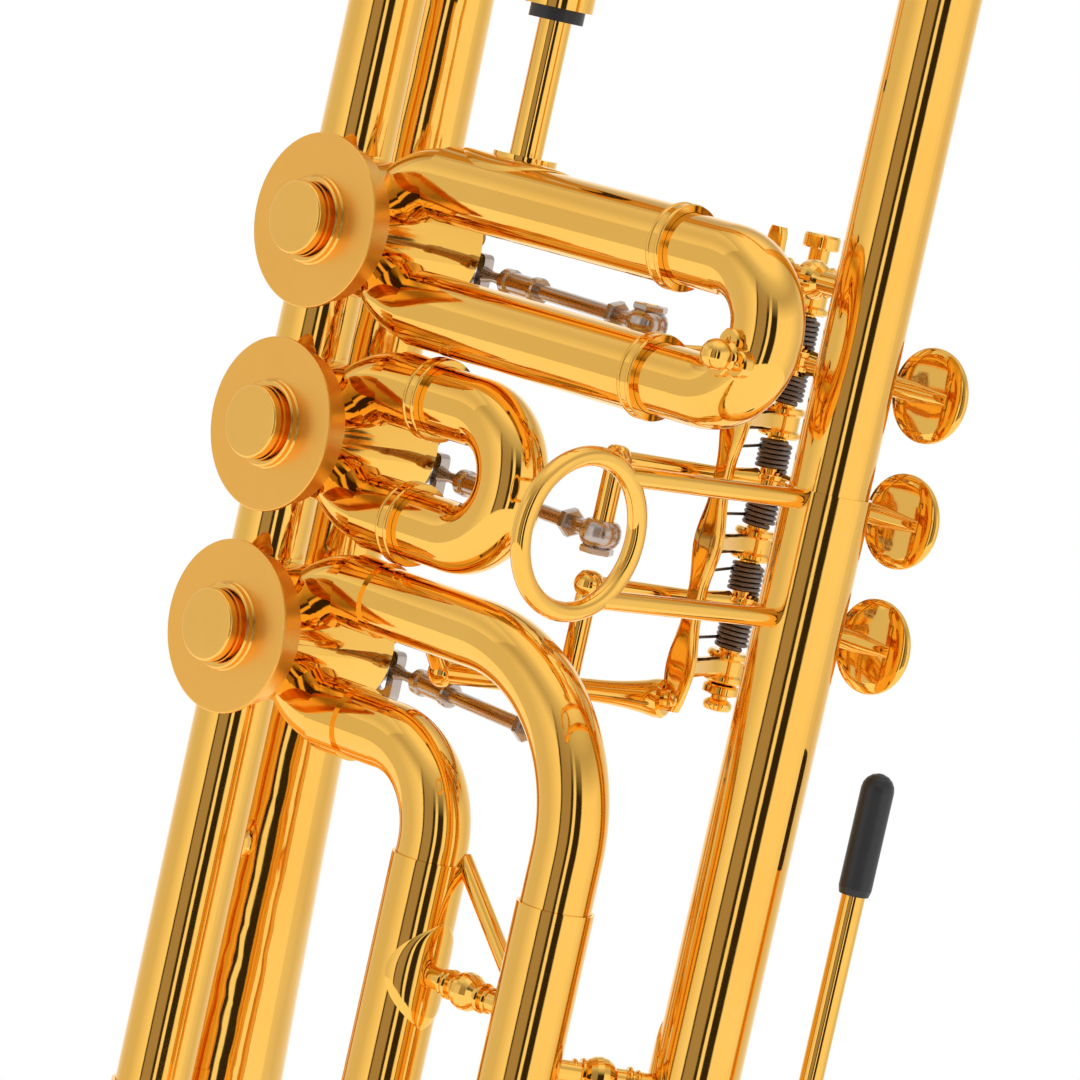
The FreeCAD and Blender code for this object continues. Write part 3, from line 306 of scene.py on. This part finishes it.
class Shape:  # builds one mesh out of turned and swept parts, in millimetres
    def __init__(self):
        self.points = []
        self.faces = []

    def skin(self, rings, looped=True):
        start = len(self.points)
        count = len(rings[0])
        for ring in rings:
            self.points += [tuple(point) for point in ring]
        for row in range(len(rings) - 1):
            for step in range(count if looped else count - 1):
                after = (step + 1) % count
                low, high = start + row * count, start + (row + 1) * count
                self.faces.append((low + step, low + after, high + after, high + step))
        return start, start + (len(rings) - 1) * count

    def close(self, first, count, turned=False):
        ring = list(range(first, first + count))
        self.faces.append(tuple(ring if turned else reversed(ring)))

    def turned(self, outline, centre, axis=(0, 0, 1), sides=64):
        spin = Vector((0, 0, 1)).rotation_difference(Vector(axis)).to_matrix()
        rings = []
        for radius, height in outline:
            ring = []
            for step in range(sides):
                angle = 2 * math.pi * step / sides
                spot = Vector((radius * math.cos(angle), radius * math.sin(angle), height))
                ring.append(spin @ spot + Vector(centre))
            rings.append(ring)
        first, last = self.skin(rings)
        self.close(first, sides)
        self.close(last, sides, True)
        return self

    def ringed(self, outline, centre, axis=(0, 0, 1), sides=64):  # closed outline, no ends
        spin = Vector((0, 0, 1)).rotation_difference(Vector(axis)).to_matrix()
        rings = []
        for radius, height in outline + outline[:1]:
            rings.append([spin @ Vector((radius * math.cos(2 * math.pi * step / sides),
                                         radius * math.sin(2 * math.pi * step / sides),
                                         height)) + Vector(centre) for step in range(sides)])
        self.skin(rings)
        return self

    def swept(self, path, sizes, sides=20, square=2.0, upright=(0, 0, 1)):
        # sizes holds (half width, half height) at each point; square above 2 squares the section
        rings = []
        for place, (wide, high) in zip(path, sizes):
            index = len(rings)
            ahead = Vector(path[min(index + 1, len(path) - 1)])
            behind = Vector(path[max(index - 1, 0)])
            along = (ahead - behind).normalized()
            side = along.cross(Vector(upright)).normalized()
            top = side.cross(along)
            ring = []
            for step in range(sides):
                angle = 2 * math.pi * step / sides
                cosine, sine = math.cos(angle), math.sin(angle)
                grow = (abs(cosine) ** square + abs(sine) ** square) ** (-1 / square)
                ring.append(Vector(place) + side * (wide * cosine * grow)
                            + top * (high * sine * grow))
            rings.append(ring)
        first, last = self.skin(rings)
        self.close(first, sides)
        self.close(last, sides, True)
        return self

    def saddle(self, tube, at, along, outward, reach, wrap, thick, turns=28, sides=20):
        # almond-shaped plate that hugs a tube: a lens seen from outside
        along, outward = Vector(along).normalized(), Vector(outward).normalized()
        aside = along.cross(outward)
        rows = []
        for row in range(turns + 1):
            share = -1 + 2 * row / turns
            half = math.radians(wrap) * max(1 - share * share, 0.0004)
            outer, inner = [], []
            for step in range(sides + 1):
                place = -1 + 2 * step / sides
                edge = max(1 - place ** 6, 0) * max(1 - abs(share) ** 7, 0)
                angle = half * place
                way = outward * math.cos(angle) + aside * math.sin(angle)
                spot = Vector(at) + along * (reach * share)
                outer.append(spot + way * (tube + 0.06 + thick * edge))
                inner.append(spot + way * (tube - 0.12))
            rows.append(outer + inner[::-1])
        first, last = self.skin(rows)
        count = 2 * (sides + 1)
        self.close(first, count)
        self.close(last, count, True)
        return self

    def piece(self, name, body, slot, finish, stands=(), corner=32):
        mesh = bpy.data.meshes.new(name)
        mesh.from_pydata([Vector(point) * mm for point in self.points], [], self.faces)
        tidy = bmesh.new()
        tidy.from_mesh(mesh)
        bmesh.ops.remove_doubles(tidy, verts=tidy.verts, dist=1e-6)
        bmesh.ops.dissolve_degenerate(tidy, edges=tidy.edges, dist=1e-6)
        bmesh.ops.recalc_face_normals(tidy, faces=tidy.faces)
        tidy.to_mesh(mesh)
        tidy.free()
        mesh.shade_smooth()
        mesh.set_sharp_from_angle(angle=math.radians(corner))
        mesh.materials.append(finishes[finish])
        made = bpy.data.objects.new(name, mesh)
        bpy.context.scene.collection.objects.link(made)
        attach(made, body)
        if stands:
            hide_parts(*stands)
        return made


tubing = {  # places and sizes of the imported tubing, in millimetres
    "valvePlane": -23.5,
    "slideLegs": 9.7,  # from a rotor's axis
    "slideSleeve": 5.9,
    "innerLegX": 61.5,  # third slide
    "returnX": 102.6,
    "returnTube": 6.0,
    "returnSleeve": 6.6,
    "linkEye": 2.0,  # half its height
    "linkEyeRadius": 3.2,
    "pinY": -5.2,  # the links' ends along the rotor cranks' pins
    "pinInset": 3.1,  # from the end of a link to its pin
    "postReach": 3.2,  # a lever's post beyond the middle of the link
}


def middleOf(node):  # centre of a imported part, in millimetres
    low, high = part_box(node)
    return (low + high) / 2 / mm


def roundEdge(radius, height, corner, steps=5):  # quarter round from a side up onto a top
    return [(radius - corner + corner * math.cos(turn), height - corner + corner * math.sin(turn))
            for turn in (math.pi / 2 * step / steps for step in range(steps + 1))]


def ballOutline(radius, middle, low=-80, high=90, steps=14):
    turns = (math.radians(low + (high - low) * step / steps) for step in range(steps + 1))
    return [(max(radius * math.cos(turn), 0.02), middle + radius * math.sin(turn))
            for turn in turns]


capLook = {
    "disc": 13.5,
    "button": 5.7,
    "buttonTop": 4.4,
    "crown": 0.35,  # rise of the button's face
    "groove": 0.45,
}


def makeCaps():
    for number in (1, 2, 3):
        low, high = (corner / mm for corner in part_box("valve_cap_%d" % number))
        centre = (low + high) / 2
        spot = (centre.x, high.y, centre.z)
        depth = high.y - low.y
        face = depth - capLook["buttonTop"]  # the disc's face, measured from the skirt's end
        disc, button, groove = capLook["disc"], capLook["button"], capLook["groove"]
        skirt = [(11.0, 0), (11.7, 0), (12.0, 0.3), (12.0, face - 0.8)]
        rim = [(disc - 0.2, face - 0.7), (disc, face - 0.5)] + roundEdge(disc, face, 0.2)
        plate = [(disc - 0.6, face), (6.9, face)]
        Shape().turned(skirt + rim + plate, spot, (0, -1, 0), 128).piece(
            "valve_cap_plate_%d" % number, "trumpet_body", "gold_plate", "satin_gold",
            ["valve_cap_%d" % number], 25)
        foot = [(6.95, face - 0.4), (6.95, face + 0.15), (6.7, face + 0.4), (6.7, face + 1.15)]
        foot += [(6.45, face + 1.4), (button - groove, face + 1.4), (button - groove, face + 1.95)]
        collar = [(button + 0.15, face + 1.95), (button + 0.15, face + 2.35),
                  (button - groove, face + 2.35), (button - groove, face + 2.7)]
        barrel = [(button, face + 2.7)] + roundEdge(button, depth - capLook["crown"], 0.4)
        crown = [(button - 0.9, depth - 0.3), (button - 2.4, depth - 0.12), (0.02, depth)]
        Shape().turned(foot + collar + barrel + crown, spot, (0, -1, 0), 96).piece(
            "valve_button_%d" % number, "trumpet_body", "gold_plate", "button_gold", corner=30)


makeCaps()
print("valve caps made")


leverLook = {
    "arm": 1.35,
    "rib": 1.6,  # raised back of the finger plate, where the arm runs out
    "plate": 7.25,
    "dish": 0.9,
}


def leverHub(number):
    low, high = (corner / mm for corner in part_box("lever_axle"))
    paddle = leverPaddle(number)
    return Vector(((low.x + high.x) / 2, (low.y + high.y) / 2, paddle.z))


def leverPaddle(number):  # centre of the finger plate: its highest X, and the widest part there
    part = nodes["lever_%d" % number]
    spots = [corner.co / mm for corner in part.data.vertices]
    edge = max(spot.x for spot in spots)
    rim = [spot for spot in spots if spot.x > edge - 2 * leverLook["plate"] + 1]
    high, low = max(spot.z for spot in rim), min(spot.z for spot in rim)
    front, back = max(spot.y for spot in rim), min(spot.y for spot in rim)
    return Vector((edge - leverLook["plate"], (front + back) / 2, (high + low) / 2))


springLook = {
    "wire": 0.36,  # half thickness
    "pitch": 0.80,
    "samples": 18,  # points on each turn
}


def springPath(x, y, low, high, radius):
    turns = round(abs(high - low) / springLook["pitch"])
    count = int(turns * springLook["samples"])
    return [Vector((x + radius * math.cos(2 * math.pi * turns * step / count),
                    y + radius * math.sin(2 * math.pi * turns * step / count),
                    low + (high - low) * step / count)) for step in range(count + 1)]


def makeSprings():
    low, high = (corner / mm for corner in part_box("lever_springs"))
    x, y = (low.x + high.x) / 2, (low.y + high.y) / 2
    wire = springLook["wire"]
    radius = (high.x - low.x) / 2 - wire
    rackLow, rackHigh = (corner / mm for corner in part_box("lever_rack"))
    coils = Shape()
    for number in (1, 2, 3):
        hub = leverHub(number)
        for side in (-1, 1):
            near, far = hub.z + side * (1.7 + wire), hub.z + side * (6.95 - wire)
            path = springPath(x, y, near, far, radius)
            coils.swept(path, [(wire, wire)] * len(path), 8)
            hook = Vector((rackHigh.x - 2.6, rackLow.y + 1.9, far - side * 1.4))
            tail = [Vector((x - radius * 0.7, y - radius * 0.7, far - side * 1.2)), hook]
            coils.swept(tail, [(wire * 0.7, wire * 0.7)] * 2, 8)
    coils.piece("lever_spring_coils", "trumpet_body", "spring_steel", "spring_steel",
                ["lever_springs"], 60)


def makeLever(number):
    hub, paddle = leverHub(number), leverPaddle(number)
    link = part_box("link_%d" % number)
    eye, reach = tubing["linkEye"], tubing["linkEyeRadius"]
    joint = Vector((link[1].x / mm - reach, link[0].y / mm + reach, link[1].z / mm - eye))
    clear = eye + leverLook["arm"] + 0.8
    armZ = hub.z if hub.z - joint.z > clear else joint.z - clear
    wide, dish = leverLook["plate"], leverLook["dish"]
    shape = Shape()
    # hub with a bead at each end
    half = 1.5
    hubRing = [(1.65, -half), (3.2, -half), (3.4, -half + 0.2), (3.4, -half + 0.7),
               (3.1, -half + 0.9), (3.1, half - 0.9), (3.4, half - 0.7), (3.4, half - 0.2),
               (3.2, half), (1.65, half)]
    shape.ringed(hubRing, hub, sides=48)
    # plate: domed back towards -Y, hollow face towards +Y
    back = [(0.02, -0.8), (wide * 0.45, -0.72), (wide * 0.75, -0.55), (wide - 0.3, -0.3)]
    rim = [(wide - 0.06, -0.1), (wide, 0.15), (wide, 0.45), (wide - 0.1, 0.7), (wide - 0.3, 0.8)]
    face = [(wide * 0.8, 0.8 - dish * 0.4), (wide * 0.5, 0.8 - dish * 0.8), (0.02, 0.8 - dish)]
    shape.turned(back + rim + face, paddle, (0, 1, 0), 72)
    # outer arm runs out as a rib along the plate's back
    arm = leverLook["arm"]
    start = hub + Vector((2.4, 0.2, 0))
    neck = Vector((paddle.x - wide, paddle.y - 0.5, hub.z))
    over = Vector((paddle.x - wide * 0.35, paddle.y - 0.85, hub.z))
    tip = Vector((paddle.x + wide * 0.55, paddle.y - 0.7, hub.z))
    shape.swept([start, (start + neck) / 2, neck, over, tip],
                [(arm, arm * 1.5), (arm * 0.9, arm), (arm, arm * 1.2),
                 (0.85, leverLook["rib"]), (0.25, 0.9)], 24)
    # inner arm and the post that carries the link
    foot = Vector((joint.x, joint.y, armZ))
    way = (foot - Vector((hub.x, hub.y, hub.z))).normalized()
    shape.swept([hub + way * 2.6, hub + way * 9, foot - way * 1.6, foot + way * 1.2],
                [(arm * 1.15, arm * 1.5), (arm * 0.9, arm), (arm, arm * 1.1),
                 (arm * 1.2, arm * 1.2)])
    down = armZ > joint.z
    low = joint.z - tubing["postReach"] if down else armZ - 2
    high = armZ + 2 if down else joint.z + tubing["postReach"]
    post = [(1.3, 0), (1.65, 0.3), (1.65, high - low - 0.3), (1.3, high - low)]
    shape.turned(post, (joint.x, joint.y, low), sides=32)
    shape.turned(ballOutline(2.3, 0, -70, 70), foot, sides=32)
    shape.piece("finger_lever_%d" % number, "lever_%d" % number, "gold_plate", "gold_plate",
                ["lever_%d" % number])
    nut = Shape()
    outside = joint.z - eye - 1.15 if down else joint.z + eye
    nut.turned([(1.6, 0), (2.5, 0), (2.7, 0.25), (2.7, 0.85), (2.5, 1.1), (1.6, 1.1)],
               (joint.x, joint.y, outside), sides=6)
    nut.piece("joint_nut_%d" % number, "lever_%d" % number, "link_steel", "link_steel")


def makeLink(number):
    low, high = (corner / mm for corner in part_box("link_%d" % number))
    z = high.z - tubing["linkEye"]
    reach = tubing["linkEyeRadius"]
    joint = Vector((high.x - reach, low.y + reach, z))
    pin = Vector((low.x + tubing["pinInset"], tubing["pinY"], z))
    way = (pin - joint).normalized()
    shape = Shape()
    eye = [(1.72, -2.0), (2.3, -2.0), (2.75, -1.6), (3.1, -0.9), (3.2, 0), (3.1, 0.9),
           (2.75, 1.6), (2.3, 2.0), (1.72, 2.0)]
    shape.ringed(eye, joint, sides=40)
    neck = joint + way * 2.6
    shape.swept([neck, joint + way * 5, joint + way * 6, pin - way * 9.5],
                [(1.7, 1.7), (1.25, 1.25), (1.2, 1.2), (1.2, 1.2)])
    shape.turned([(1.1, 0), (2.0, 0), (2.3, 0.3), (2.3, 1.3), (2.0, 1.6), (1.1, 1.6)],
                 joint + way * 7.2, way, 6)
    barrel = [(1.1, 0), (1.9, 0), (2.1, 0.3), (2.1, 1.2), (1.75, 1.6), (1.75, 7.6), (2.1, 8.0),
              (2.1, 9.4), (1.8, 9.8), (1.1, 9.8)]
    shape.turned(barrel, pin - way * 19.4, way, 40)
    shape.swept([pin - way * 10, pin - way * 6, pin - way * 3.1],
                [(1.1, 1.1), (0.8, 0.8), (0.8, 1.3)])
    yoke = [(-3.1, 3.1), (3.1, 3.1), (3.1, -5.0), (-3.1, -5.0)]
    slotted = [(-1.6, 1.6), (1.6, 1.6), (1.6, -3.5), (-1.6, -3.5)]
    outer = roundedLoop(yoke, 1.2)
    inner = roundedLoop(slotted, 0.9)
    rings = []
    for loop, depth in ((inner, -1.0), (outer, -1.0), (outer, 1.0), (inner, 1.0), (inner, -1.0)):
        rings.append([pin + Vector((across, depth, tall)) for across, tall in loop])
    shape.skin(rings)
    shape.piece("link_rod_%d" % number, "link_%d" % number, "link_steel", "link_steel",
                ["link_%d" % number], 30)


def roundedLoop(corners, corner, steps=6):
    loop = []
    count = len(corners)
    for index in range(count):
        here = Vector(corners[index])
        before = (Vector(corners[index - 1]) - here).normalized()
        after = (Vector(corners[(index + 1) % count]) - here).normalized()
        for step in range(steps + 1):
            share = step / steps
            first = here + before * corner * (1 - share)
            second = here + after * corner * share
            loop.append(first * (1 - share) + second * share)
    return loop


rackLook = {
    "wide": 2.7,  # half width of the bar at the posts
    "narrow": 1.55,
    "thick": 0.8,  # half
    "arm": 1.5,
    "bearing": 3.3,
}


def makeRack():
    low, high = (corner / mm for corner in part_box("lever_rack"))
    axleLow, axleHigh = (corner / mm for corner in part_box("lever_axle"))
    axis = (axleLow + axleHigh) / 2
    middle = low.y + rackLook["thick"]
    barX = high.x - 2.5
    hubs = [leverHub(number).z for number in (1, 2, 3)]
    step = hubs[0] - hubs[1]
    posts = [hubs[1] + step * share for share in (1.5, 0.5, -0.5, -1.5)]
    shape = Shape()
    path, sizes = [], []
    count = 90
    for index in range(count + 1):
        z = low.z + (high.z - low.z) * index / count
        near = min(abs(z - post) for post in posts) / (step / 2)
        share = 0.5 + 0.5 * math.cos(math.pi * min(near * 1.25, 1))
        half = rackLook["narrow"] + (rackLook["wide"] - rackLook["narrow"]) * share
        end = min(z - low.z, high.z - z)
        if end < 1.2:
            half *= 0.72 + 0.28 * end / 1.2
        path.append(Vector((barX, middle, z)))
        sizes.append((half, rackLook["thick"]))
    shape.swept(path, sizes, 28, 5, (0, 1, 0))
    for post in posts:
        arm = rackLook["arm"]
        shape.swept([Vector((barX, middle + 0.5, post)), Vector((barX - 0.4, middle + 2.4, post)),
                     Vector((barX - 1.4, middle + 6, post)),
                     Vector((axis.x + 0.9, axis.y - 4.2, post)),
                     Vector((axis.x + 0.4, axis.y - 2.4, post))],
                    [(2.0, 2.3), (1.5, 1.7), (1.2, arm), (1.2, arm), (1.7, 2.1)], 24, 3.2)
        wide = rackLook["bearing"]
        bearing = [(1.65, -2.45), (wide - 0.4, -2.45), (wide, -2.1), (wide, -1.5),
                   (wide - 0.5, -1.1), (wide - 0.5, 1.1), (wide, 1.5), (wide, 2.1),
                   (wide - 0.4, 2.45), (1.65, 2.45)]
        shape.ringed(bearing, (axis.x, axis.y, post), sides=48)
    shape.turned([(0.9, 0), (1.1, 0.25), (1.1, 0.7), (0.8, 0.9), (0.02, 1.0)],
                 (barX + 0.6, low.y + 0.1, low.z + 1.8), (0, -1, 0), 24)
    shape.piece("rack_bar", "trumpet_body", "gold_plate", "gold_plate", ["lever_rack"], 30)
    axle = Shape()
    tall = axleHigh.z - axleLow.z
    foot = [(1.2, 0), (2.0, 0.25), (2.25, 0.7), (2.25, 1.3), (1.9, 1.7), (1.3, 2.0), (1.3, 2.5)]
    disc = [(2.6, 2.7), (2.85, 2.9), (2.85, 3.9), (2.6, 4.2), (1.6, 4.5)]
    head = [(1.6, tall - 2.6), (2.7, tall - 2.45), (2.85, tall - 2.2), (2.85, tall - 0.6),
            (2.6, tall - 0.2), (0.02, tall)]
    axle.turned(foot + disc + head, (axis.x, axis.y, axleLow.z), sides=48)
    axle.piece("lever_axle_rod", "trumpet_body", "gold_plate", "gold_plate", ["lever_axle"], 30)


for number in (1, 2, 3):
    makeLever(number)
    makeLink(number)
makeSprings()
makeRack()
print("lever rack made")


knobLook = {
    "ball": 2.35,
    "stem": 1.35,
    "lobe": 2.0,  # radius of each lobe of the foot
    "spread": 2.1,
}


def makePullKnob():
    low, high = (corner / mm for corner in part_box("first_slide_knob"))
    foot = Vector(((low.x + high.x) / 2, high.y - 0.4, (low.z + high.z) / 2))
    shape = Shape()
    ball, stem, lobe = knobLook["ball"], knobLook["stem"], knobLook["lobe"]
    tall = foot.y - low.y
    rise = [(2.2, 0), (2.2, 1.7), (stem + 0.2, 2.3), (stem, 2.9)]
    shape.turned(rise + ballOutline(ball, tall - ball, -52, 90), foot, (0, -1, 0), 48)
    for turn in (-20, 100, 220):
        way = Vector((math.cos(math.radians(turn)), 0, math.sin(math.radians(turn))))
        spot = foot + way * knobLook["spread"]
        shape.turned([(lobe, 0), (lobe, 1.35), (lobe - 0.25, 1.65), (0.02, 1.75)], spot,
                     (0, -1, 0), 32)
        shape.turned(ballOutline(0.5, 1.7, -40), spot + way * 0.5, (0, -1, 0), 16)
    shape.piece("slide_pull_knob", "first_slide", "gold_plate", "gold_plate", ["first_slide_knob"])


makePullKnob()


stayLook = {
    "flare": 3.0,
    "rod": 1.75,
    "length": 13,
    "knee": (44, -12, 268.2),  # of the rack's lower stay
    "head": (79.9, 1.5, 273.7),
    "collars": ((3.6, 2.35), (4.9, 2.05)),  # distance from a brace's ball, radius
    "strutTop": (65.5, -20.5, 244),
    "strutFoot": (84.6, -20.5, 226),
    "strut": 1.35,
}


def makeStayDetails():
    head, knee = Vector(stayLook["head"]), Vector(stayLook["knee"])
    way = (head - knee).normalized()
    shape = Shape()
    flare, stem, length = stayLook["flare"], stayLook["rod"], stayLook["length"]
    outline = [(stem, 0)]
    for step in range(1, 9):
        share = step / 8
        outline.append((stem + (flare - stem) * share ** 2.2, (length - 1.6) * share))
    outline += [(flare, length - 0.5), (flare - 0.5, length)]
    shape.turned(outline, head - way * (length + 1.2), way, 40)
    for node in ("third_slide_brace", "return_brace", "rack_top_stay"):
        lower, upper = (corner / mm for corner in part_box(node))
        middle = (lower + upper) / 2
        across = Vector((upper.x - lower.x, upper.y - lower.y, 0))
        if node == "third_slide_brace":
            across.y = 0
        across.normalize()
        for side in (-1, 1):
            for reach, radius in stayLook["collars"]:
                ring = [(1.3, -0.35), (radius - 0.2, -0.35), (radius, -0.12), (radius, 0.12),
                        (radius - 0.2, 0.35), (1.3, 0.35)]
                shape.ringed(ring, middle + across * (side * reach), across, 32)
    strut = [Vector(stayLook["strutTop"]), Vector(stayLook["strutFoot"])]
    shape.swept(strut, [(stayLook["strut"], stayLook["strut"])] * 2, 20)
    shape.piece("stay_fittings", "trumpet_body", "gold_plate", "gold_plate", corner=35)


makeStayDetails()


plateLook = {
    "thick": 0.42,
    "rearStayX": 46,
}


def makeFootPlates():
    shape = Shape()
    thick = plateLook["thick"]
    plane, sleeve, returnX = tubing["valvePlane"], tubing["slideSleeve"], tubing["returnX"]
    upright = (0, 0, 1)
    legZ = middleOf("valve_cap_1").z + tubing["slideLegs"]
    shape.saddle(sleeve, (plateLook["rearStayX"], plane, legZ), (1, 0, 0), (0, 0.25, 1),
                 12, 62, thick)
    shape.saddle(tubing["returnTube"], (returnX, 0, middleOf("rack_top_stay").z), upright,
                 (-0.75, 0.65, 0), 13, 70, thick)
    shape.saddle(sleeve, (tubing["innerLegX"], plane, middleOf("third_slide_brace").z), upright,
                 (1, 0, 0), 8.5, 75, thick)
    shape.saddle(tubing["returnSleeve"], (returnX, 0, middleOf("return_brace").z), upright,
                 (-1, -0.4, 0), 10, 70, thick)
    shape.piece("stay_foot_plates", "trumpet_body", "gold_plate", "gold_plate", corner=40)


makeFootPlates()


ferruleLook = {
    "bead": 0.42,
    "out": 6.15,  # middle of the bead from the tube's axis
    "back": (0.5, 2.2),  # the two beads from the sleeve's end
}


def makeFerruleBeads():
    shape = Shape()
    bead, out = ferruleLook["bead"], ferruleLook["out"]
    outline = [(out + bead * math.cos(turn), bead * math.sin(turn))
               for turn in (2 * math.pi * step / 10 for step in range(10))]
    for node in ("first_slide_sleeves", "second_slide_sleeves"):
        low, high = (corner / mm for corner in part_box(node))
        middle = (low + high) / 2
        for side in (-1, 1):
            z = middle.z + side * tubing["slideLegs"]
            for back in ferruleLook["back"]:
                shape.ringed(outline, (high.x - back, tubing["valvePlane"], z), (1, 0, 0), 72)
    shape.piece("slide_mouth_beads", "trumpet_body", "gold_plate", "gold_plate", corner=60)


makeFerruleBeads()
print("plates and beads made")


studio = {
    "white": (1.10, 1.09, 1.06),
    "soft": (0.78, 0.78, 0.78),
    "grey": (0.50, 0.49, 0.49),
    "brown": (0.42, 0.37, 0.35),
    "black": (0.035, 0.030, 0.030),
    "panelSide": -45.4,  # direction of the dark panels, degrees from +X
    "strength": 1.0,
    "keySize": 0.9,
    "keyPower": 0.5,
}


def makeWorld():
    world = bpy.data.worlds.new("studio_world")
    bpy.context.scene.world = world
    world.use_nodes = True
    paint = Paint(world.node_tree)
    where = paint.node("ShaderNodeTexCoord", output="Generated")
    across = paint.node("ShaderNodeSeparateXYZ", None, {0: where}, output="X")
    along = paint.node("ShaderNodeSeparateXYZ", None, {0: where}, output="Y")
    height = paint.node("ShaderNodeSeparateXYZ", None, {0: where}, output="Z")
    turn = paint.node("ShaderNodeMath", {"operation": "ARCTAN2"}, {0: along, 1: across})
    offset = (turn - math.radians(studio["panelSide"])) / (2 * math.pi) + 1.5
    share = paint.node("ShaderNodeMath", {"operation": "FRACT"}, {0: offset})
    # the ramp runs once round the walls, with the panels in its middle
    walls = [(-180, "white"), (-115, "soft"), (-80, "soft"), (-44, "white"), (-41, "white"),
             (-40, "black"), (-37, "black"), (-35, "brown"), (-9, "brown"), (-8, "black"),
             (-1, "black"), (0, "white"), (7, "white"), (8, "black"), (26, "black"),
             (28, "white"), (75, "white"), (115, "soft"), (180, "white")]
    stops = [((degrees + 180) / 360, studio[name]) for degrees, name in walls]
    ring = paint.node("ShaderNodeValToRGB", {"stops": stops}, {0: share})
    lidStops = [(0.0, (0, 0, 0)), (0.67, (0, 0, 0)), (0.82, (1, 1, 1)), (1.0, (1, 1, 1))]
    lid = paint.node("ShaderNodeValToRGB", {"stops": lidStops}, {0: height * 0.5 + 0.5})
    ceilingStops = [(0.0, studio["grey"]), (0.78, studio["grey"]), (0.90, studio["soft"]),
                    (0.96, studio["white"]), (1.0, studio["white"])]
    ceiling = paint.node("ShaderNodeValToRGB", {"stops": ceilingStops}, {0: height * 0.5 + 0.5})
    room = paint.blend(lid, ring, ceiling)
    plain = paint.node("ShaderNodeLightPath", output="Is Camera Ray")
    seen = paint.blend(plain, room, (1, 1, 1, 1))
    glow = paint.node("ShaderNodeBackground", None,
                      {"Color": seen, "Strength": studio["strength"]})
    paint.node("ShaderNodeOutputWorld", None, {"Surface": glow})


floorLook = {
    "reach": 0.8,
    "sides": 96,
}


def makeFloor():
    mesh = bpy.data.meshes.new("studio_floor")
    corners = [(0.05 + floorLook["reach"] * math.cos(2 * math.pi * step / floorLook["sides"]),
                floorLook["reach"] * math.sin(2 * math.pi * step / floorLook["sides"]), 0)
               for step in range(floorLook["sides"])]
    mesh.from_pydata(corners, [], [tuple(range(floorLook["sides"]))])
    floor = bpy.data.objects.new("studio_floor", mesh)
    bpy.context.scene.collection.objects.link(floor)
    material, paint = newFinish("pale_floor")
    tone = paint.blend(paint.noise(3, 2), rgba(0.90, 0.90, 0.89), rgba(0.94, 0.94, 0.93))
    paint.surface(Base_Color=tone, Roughness=0.8, Emission_Color=tone, Emission_Strength=0.42)
    mesh.materials.append(material)


def makeLight(name, place, aim, size, power):
    lamp = bpy.data.lights.new(name, "AREA")
    lamp.shape = "RECTANGLE"
    lamp.size, lamp.size_y = size, size
    lamp.energy = power
    light = bpy.data.objects.new(name, lamp)
    way = Vector(place) - Vector(aim)
    turn = way.to_track_quat("Z", "Y").to_matrix().to_4x4()
    light.matrix_world = Matrix.Translation(place) @ turn
    bpy.context.scene.collection.objects.link(light)


makeWorld()
makeFloor()
makeLight("soft_key", (-0.9, -0.7, 1.1), (0.05, 0, 0.3), studio["keySize"], studio["keyPower"])
bpy.context.scene.view_settings.view_transform = "Standard"
print("studio made")
